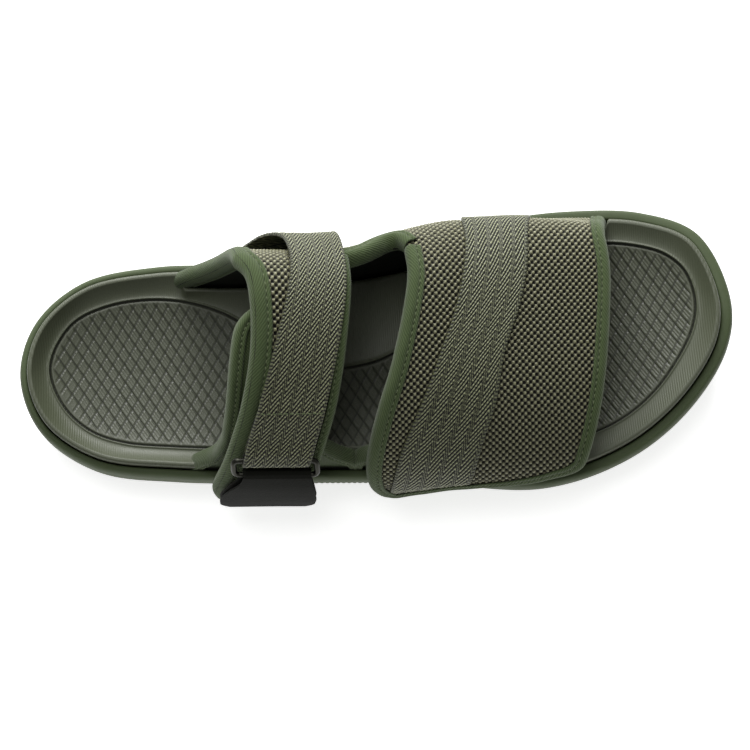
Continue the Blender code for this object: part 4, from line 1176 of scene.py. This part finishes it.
def tape(name, path, layer, width, outward, tucked=False, soften=0):
    """Tape folded over a panel's edge and sewn down, with its stitches."""
    low, high = layer[0] - FOLD_OVER, layer[1] + FOLD_OVER - 0.1
    section, stitch = tape_section(width, low, high)
    path = even_path(path, STITCH_PITCH / 4, tucked, soften)
    t, x = path[:, 0], path[:, 1]
    along, forward, normal = slopes(t, x, tucked)
    ahead = unit(np.gradient(arch(t, x, tucked), axis=0))
    out = np.cross(ahead, normal) * outward
    aa, af, ff = ((p * q).sum(1) for p, q in ((along, along), (along, forward),
                                              (forward, forward)))
    ao, fo = (along * out).sum(1), (forward * out).sum(1)
    determinant = aa * ff - af**2
    to_t, to_x = (ao * ff - fo * af) / determinant, (fo * aa - ao * af) / determinant
    station = np.arange(len(t))
    pricked = (station % 4 == 0).astype(float)
    rows, holes = [], []
    for k, (depth, height) in enumerate(section):
        # Painted shade: dark at the stitch holes, along the tape's outer edge and over its inner
        # faces.
        hole = 0.85 * pricked if k == stitch else 0.0 * pricked
        sunk = height - 0.15 * hole
        puff = 0.08 * waver(station * 0.6, np.full(len(t), depth * 3.0), 2.2)
        sunk = sunk + puff * (1 if height > (low + high) / 2 else -1) * (k < len(section) - 4)
        inward = min(depth, 0.0)
        spot = over(np.clip(t + to_t * inward, 0.001, 0.999), x + to_x * inward, sunk, tucked)
        rows.append(spot + out * max(depth, 0.0))
        holes.append(hole + (0.9 if k >= len(section) - 4 or k == 0 else 0.0))
    points = np.stack(rows, 1)
    count, size = points.shape[:2]
    run = station * STITCH_PITCH / 4
    measure = run_along(np.array(section))
    st = planned(np.repeat(run, size), np.tile(measure, count))
    groups = sweep_groups(count, size)
    if not wound_out(points.reshape(-1, 3), groups[0]):
        groups = [g[:, ::-1] for g in groups]
    middle = station[2:-2:4]
    centre = points[middle, stitch]
    thread, sides, caps = stitches(centre + normal[middle] * 0.14, ahead[middle],
                                   normal[middle], 1.4, 0.2, count * size)
    if not wound_out(np.concatenate([points.reshape(-1, 3), thread]), sides):
        sides, caps = sides[:, ::-1], caps[:, ::-1]
    spare = len(thread)
    st = np.concatenate([st, np.zeros((spare, 3))])
    hole = np.concatenate([np.stack(holes, 1).ravel(), np.zeros(spare)])
    # The stitches carry the thread's own colour in this attribute, not a highlight.
    glint = np.concatenate([np.zeros(count * size), np.full(spare, 0.45)])
    return make(name, np.concatenate([points.reshape(-1, 3), thread]),
                [groups[0], groups[1], sides, caps], TAPE, flat=(1,), st=st, hole=hole,
                glint=glint)


def above_rim(path, clearance):
    height = arch(path[:, 0], path[:, 1])[:, 2]
    return path[height > rim_top(path[:, 1]) + clearance]


def build_tapes():
    layer = (LINING[0], PANEL_TOP)
    t = np.linspace(0.03, FOLD_T, 200)
    wall_toe = above_rim(np.stack([t, through(WALL_TOE, t)], -1), -3.0)
    wall_heel = above_rim(np.stack([t, through(WALL_HEEL, t)], -1), -3.0)
    front = panel_places([FRONT_HEEL, FRONT_TOE], [200], FOLD_T, FLAP_END, 0.5, FRONT_SLANT,
                         CORNER)
    path = np.concatenate([wall_toe, rim_of(front)[::-1]])
    piece = tape("front_flap_edge", path, layer, FRONT_TAPE, -1, soften=5)
    settle(piece, "front_flap", ["front_flap_binding", "wall_toe_binding"], True)
    rear = panel_places([REAR_HEEL, REAR_TOE], [120], FOLD_T, FLAP_END, 0.5, REAR_SLANT,
                        REAR_CORNER)
    rim = rim_of(rear)
    half = len(rear) + 119
    path = np.concatenate([wall_heel, rim[:half]])
    piece = tape("rear_flap_heel_edge", path, layer, REAR_HEEL_TAPE, 1, soften=5)
    settle(piece, "rear_flap", ["rear_heel_binding", "wall_heel_binding"], True)
    piece = tape("rear_flap_toe_edge", rim[half + 1:], layer, REAR_TOE_TAPE, 1, soften=3)
    settle(piece, "rear_flap", ["rear_toe_binding"], True)
    x = np.linspace(SCOOP[0][0] - 1.5, SCOOP[-1][0], 300)
    dip = through(SCOOP, x) * (x > SCOOP[0][0])
    scoop = np.stack([FOLD_T - 0.002 - dip, x], -1)
    piece = tape("scoop_edge", scoop, layer, SCOOP_TAPE, 1, soften=31)
    settle(piece, "sole", ["scoop_binding"])


def webbing_relief(s, w, width, bands):
    """Herringbone tape: ridges, the gaps between them with their painted shade, and the painted
    highlight where the ridges shine.
    """
    period = width / bands
    q = (w / period + 0.02 * waver(s, w, 5.0)) % 1
    leg = 0.68
    rise = np.where(q < leg, q, leg * (1 - q) / (1 - leg)) * period
    phase = s / 2.5 + rise / 1.45 + 0.1 * waver(s, w, 3.0)
    twill = 0.5 + 0.5 * np.cos(TAU * phase)
    beads = 0.5 + 0.5 * np.cos(TAU * (s / 1.3 - w / 2.9))
    edge = np.minimum(w, width - w)
    inner = smooth_step(edge, 0.8, 1.3)
    ladder = (1 - inner) * (0.5 + 0.5 * np.cos(TAU * s / 1.4))
    ridge = smooth_step(twill, 0.25, 0.85) * (0.7 + 0.3 * beads) * inner + ladder
    # Painted highlight on the ridges, and painted shade in the gaps between them.
    shine = smooth_step(twill * (0.4 + 0.6 * beads), 0.4, 0.95) * inner
    gap_shade = 1 - smooth_step(ridge, 0.1, 0.62)
    return ridge, gap_shade, shine


def rolled_edge(w, width):
    edge = np.clip(np.minimum(w, width - w) / 0.7, 0, 1)
    return 0.62 * (1 - np.sqrt(np.clip(1 - (1 - edge) ** 2, 0, 1)))


def build_front_webbing():
    columns = INNER_STEP * round(28 / WEAVE / INNER_STEP)
    places = panel_places([FRONT_WEB_HEEL, FRONT_WEB_TOE], [columns], 0.10, 0.972, WEAVE,
                          FRONT_WEB_SLANT)
    t, x = places[..., 0], places[..., 1]
    width = FRONT_WEB_WIDTH
    w = np.linspace(0, width, columns + 1)[None] * np.ones((len(t), 1))
    s = run_of(t, x)
    ridge, gap_shade, shine = webbing_relief(s, w, width, 5)
    tuck = smooth_step(t + FRONT_WEB_SLANT * w / width, 0.945, 0.965)
    high = WEBBING_TOP + RIDGE_HEIGHT * ridge - RIDGE_SINK - rolled_edge(w, width) - 0.9 * tuck
    piece = slab("front_webbing_strap", places, high, WEBBING_BOTTOM, WEB, st=planned(s, w),
                 hole=gap_shade, glint=shine)
    settle(piece, "front_flap", ["front_webbing", "front_webbing_anchor"], True)


def turn_round_bar(place, radius, degrees):
    """Points of (place, height) round one bar of the ring, from its outer side."""
    length = np.linalg.norm(slopes(np.array(place), np.array(RING_MIDDLE_X))[0])
    turn = np.radians(degrees)
    return [(place + radius * np.sin(a) / length, RING_HEIGHT + radius * np.cos(a)) for a in turn]


def strap_height(t):
    """The rear webbing stands off the panel at the shoulder and is sewn down below it."""
    settled = np.interp(t, [0.085, 0.2], [5.7, STRAP_HEIGHT])
    return settled + STRAP_LIFT * np.exp(-(((t - LIFT_CENTRE) / LIFT_SPREAD) ** 2))


def strip(name, path, fine_part, pitches, heel, toe, thickness, columns, relief, look):
    """A tape along a path of (place, height): relief gives its upper face, its painted shade and
    its painted highlight.
    """
    path = np.asarray(path)
    run = run_along(path * (ROUND, 1.0))
    fine_end = fine_part * run[-1]
    parts = [np.linspace(0, fine_end, int(fine_end / pitches[0]), endpoint=False),
             np.linspace(fine_end, run[-1], max(2, int((run[-1] - fine_end) / pitches[1])))]
    wanted = np.concatenate(parts)
    spare = (len(wanted) - 1) % INNER_STEP
    if spare:
        wanted = np.concatenate([wanted[:-1], np.linspace(wanted[-2], wanted[-1],
                                                          INNER_STEP - spare + 2)[1:]])
    place, height = (np.interp(wanted, run, path[:, k]) for k in (0, 1))
    share = np.linspace(0, 1, columns + 1)
    start, end = heel(place), toe(place)
    x = start[:, None] + (end - start)[:, None] * share
    centre = over(np.repeat(place[:, None], columns + 1, 1), x, height[:, None])
    ahead, across = np.gradient(centre, axis=0), np.gradient(centre, axis=1)
    facing = unit(np.cross(ahead, across))
    s = run_along(centre[:, columns // 2])[:, None] * np.ones_like(x)
    width = abs(float(np.median(end - start)))
    w = share[None] * width * np.ones_like(x)
    lift, gap_shade, shine = relief(s, w, width)
    high = centre + facing * (thickness / 2 + lift)[..., None]
    low = (centre - facing * thickness / 2)[::INNER_STEP, ::INNER_STEP]
    return two_faced(name, high, low, look, st=planned(s, w), hole=gap_shade, glint=shine)


def build_rear_webbing():
    radius = RING_WIRE + GAP + WEBBING_THICKNESS / 2
    run = np.linspace(0.085, 0.797, 180)
    rise = through([(0.66, 0), (0.685, 0.15), (0.72, 1.4), (0.745, 1.5), (0.765, 1.8),
                    (0.803, RING_HEIGHT + radius - STRAP_HEIGHT)], run)
    path = [(t, strap_height(t) + up) for t, up in zip(run, rise)]
    path += turn_round_bar(RING_UPPER, radius, np.linspace(0, 180, 17))
    low = RING_HEIGHT - radius
    path += [(place, low) for place in TURN_BACK]

    def relief(s, w, width):
        ridge, gap_shade, shine = webbing_relief(s, w, width, 6)
        return RIDGE_HEIGHT * ridge - RIDGE_SINK - rolled_edge(w, width), gap_shade, shine

    columns = INNER_STEP * round(31 / WEAVE / INNER_STEP)
    piece = strip("rear_webbing_strap", path, 0.84, (WEAVE, 0.6),
                  lambda t: through(REAR_WEB_HEEL, t), lambda t: through(REAR_WEB_TOE, t),
                  WEBBING_THICKNESS, columns, relief, WEB)
    settle(piece, "rear_flap", ["rear_webbing", "rear_webbing_anchor"], True)
    place = 0.715
    x = np.arange(through(REAR_WEB_HEEL, place) + 2.0, through(REAR_WEB_TOE, place) - 1.5, 2.2)
    t = np.full(len(x), place)
    lifted = STRAP_HEIGHT + 1.35 + WEBBING_THICKNESS / 2 + 0.2
    centre = over(t, x, lifted)
    _, forward, normal = slopes(t, x)
    points, sides, caps = stitches(centre, forward, normal, 1.7, 0.26, 0)
    spare = np.zeros(len(points))
    piece = make("rear_turn_back_stitches", points, [sides, caps], TAPE,
                 st=np.zeros((len(points), 3)), hole=spare, glint=spare + 0.25)
    settle(piece, "rear_flap")


def build_ring():
    """Rounded rectangular ring of flattened wire."""
    middle, half_t = (RING_UPPER + RING_LOWER) / 2, (RING_LOWER - RING_UPPER) / 2
    centre_x, half_x = sum(RING_X) / 2, (RING_X[1] - RING_X[0]) / 2
    corner_t, corner_x = 0.010, 2.0
    path = []
    for quarter, (st, sx) in enumerate(((1, 1), (1, -1), (-1, -1), (-1, 1))):
        turns = np.radians(np.linspace(0, 90, 9))
        for a in turns if quarter % 2 else turns[::-1]:
            path.append((middle + st * (half_t - corner_t * (1 - np.cos(a))),
                         centre_x + sx * (half_x - corner_x * (1 - np.sin(a)))))
    path = evenly(np.array(path) * (ROUND, 1.0), 240, closed=True) / (ROUND, 1.0)
    centre = over(path[:, 0], path[:, 1], RING_HEIGHT)
    normal = slopes(path[:, 0], path[:, 1])[2]
    ahead = unit(np.roll(centre, -1, 0) - np.roll(centre, 1, 0))
    side = unit(np.cross(ahead, normal))
    turn = np.linspace(0, TAU, 20, endpoint=False)
    points = np.stack([centre + RING_WIRE * (np.cos(a) * normal + 1.05 * np.sin(a) * side)
                       for a in turn], 1)
    count, size = points.shape[:2]
    i, k = (v.ravel() for v in np.meshgrid(np.arange(count), np.arange(size), indexing="ij"))
    j, m = (i + 1) % count, (k + 1) % size
    quads = np.stack([i * size + k, i * size + m, j * size + m, j * size + k], -1)
    piece = make("rear_ring_wire", points.reshape(-1, 3), [quads], METAL)
    settle(piece, "rear_flap", ["rear_ring"])


def build_tab():
    """Folded pull tab with a sewn box."""
    radius = RING_WIRE + GAP + TAB_THICKNESS / 2
    turn = turn_round_bar(RING_LOWER, radius, np.linspace(0, -180, 17))
    path = TAB_OUTER + turn + TAB_INNER

    def relief(s, w, width):
        edge = np.minimum(w, width - w)
        reach = np.minimum(edge, s)
        far = np.abs(s - 15.0)
        box = np.where((s < 15.6) & (edge > 3.4), np.minimum(np.abs(reach - 4.0), far), 9.0)
        line = np.exp(-(box / 0.4) ** 2)
        puff = 0.5 * smooth_step(reach, 0, 2.2) * (s < 20)
        grain = 0.05 * waver(s, w, 0.6)
        # The stitch line gets painted shade in its groove; the tab has no painted highlight.
        return puff + grain - 0.45 * line - rolled_edge(w, width), 0.8 * line, 0 * line

    piece = strip("pull_tab_loop", path, 0.999, (0.35, 0.35),
                  lambda t: TAB_X[0] - through(TAB_FLARE, t) + through(TAB_SKEW, t),
                  lambda t: TAB_X[1] + through(TAB_FLARE, t) + through(TAB_SKEW, t),
                  TAB_THICKNESS, 88, relief, MICROFIBRE)
    settle(piece, "pull_tab", ["pull_tab"])


# ---------------------------------------------------------------- stage

def build_stage():
    floor = bpy.data.meshes.new("floor")
    reach = 6.0
    floor.from_pydata([(-reach, -reach, 0), (reach, -reach, 0), (reach, reach, 0),
                       (-reach, reach, 0)], [], [(0, 1, 2, 3)])
    look = Look("floor_paper", 0.9, Specular_IOR_Level=0.1)
    paper = look.noise(look.place(), 8.0)
    look.shader.inputs["Emission Color"].default_value = (1, 1, 1, 1)
    look.shader.inputs["Emission Strength"].default_value = 0.7
    look.finish(look.mix(paper, (0.90, 0.90, 0.90, 1), (0.92, 0.92, 0.92, 1)))
    floor.materials.append(look.made)
    plane = bpy.data.objects.new("floor", floor)
    plane.location.z = -0.0004
    bpy.context.scene.collection.objects.link(plane)

    world = bpy.data.worlds.new("studio")
    bpy.context.scene.world = world
    world.use_nodes = True
    sky = world.node_tree.nodes["Background"]
    sky.inputs["Color"].default_value = (1, 1, 1, 1)
    sky.inputs["Strength"].default_value = 0.3

    for name, spot, size, power in (("key", (-0.1, 1.25, 0.75), 1.0, 34.0),
                                    ("top", (-0.25, 0.3, 1.9), 0.8, 9.0)):
        lamp = bpy.data.lights.new(name, "AREA")
        lamp.shape, lamp.size, lamp.energy = "SQUARE", size, power
        holder = bpy.data.objects.new(name, lamp)
        holder.location = spot
        aim = Vector((0, 0, 0.04)) - Vector(spot)
        holder.rotation_euler = aim.to_track_quat("-Z", "Y").to_euler()
        bpy.context.scene.collection.objects.link(holder)

    tilt, roll, distance = np.radians(78.0), np.radians(4.0), 1.0
    back = np.array([0, -np.cos(tilt), np.sin(tilt)])
    up = np.array([0, np.sin(tilt), np.cos(tilt)])
    right = np.array([1.0, 0, 0])
    across = right * np.cos(roll) - up * np.sin(roll)
    upward = right * np.sin(roll) + up * np.cos(roll)
    eye = np.array([-0.0012, -0.0085, 0.030]) + distance * back
    data = bpy.data.cameras.new("photo_camera")
    data.sensor_width = 36.0
    data.lens = 118.08
    camera = bpy.data.objects.new("photo_camera", data)
    placed = Matrix.Identity(4)
    for k, axis in enumerate((across, upward, back, eye)):
        for row in range(3):
            placed[row][k] = axis[row]
    camera.matrix_world = placed
    bpy.context.scene.collection.objects.link(camera)
    bpy.context.scene.camera = camera
    bpy.context.scene.view_settings.view_transform = "Standard"


build_stage()
build_outsole()
build_midsole()
build_insert()
build_pad()
build_wall()
build_flap("front", FRONT_HEEL, FRONT_TOE, FRONT_WEB_HEEL, FRONT_WEB_TOE, [56, 16, 112],
           FRONT_SLANT, CORNER)
build_flap("rear", REAR_HEEL, REAR_TOE, REAR_WEB_HEEL, REAR_WEB_TOE, [64, 16, 16],
           REAR_SLANT, REAR_CORNER)
build_base("rear", REAR_BASE_HEEL, REAR_BASE_TOE, 0.52)
build_base("front", FRONT_BASE_HEEL, FRONT_BASE_TOE, 0.62)
build_tapes()
build_front_webbing()
build_rear_webbing()
build_ring()
build_tab()
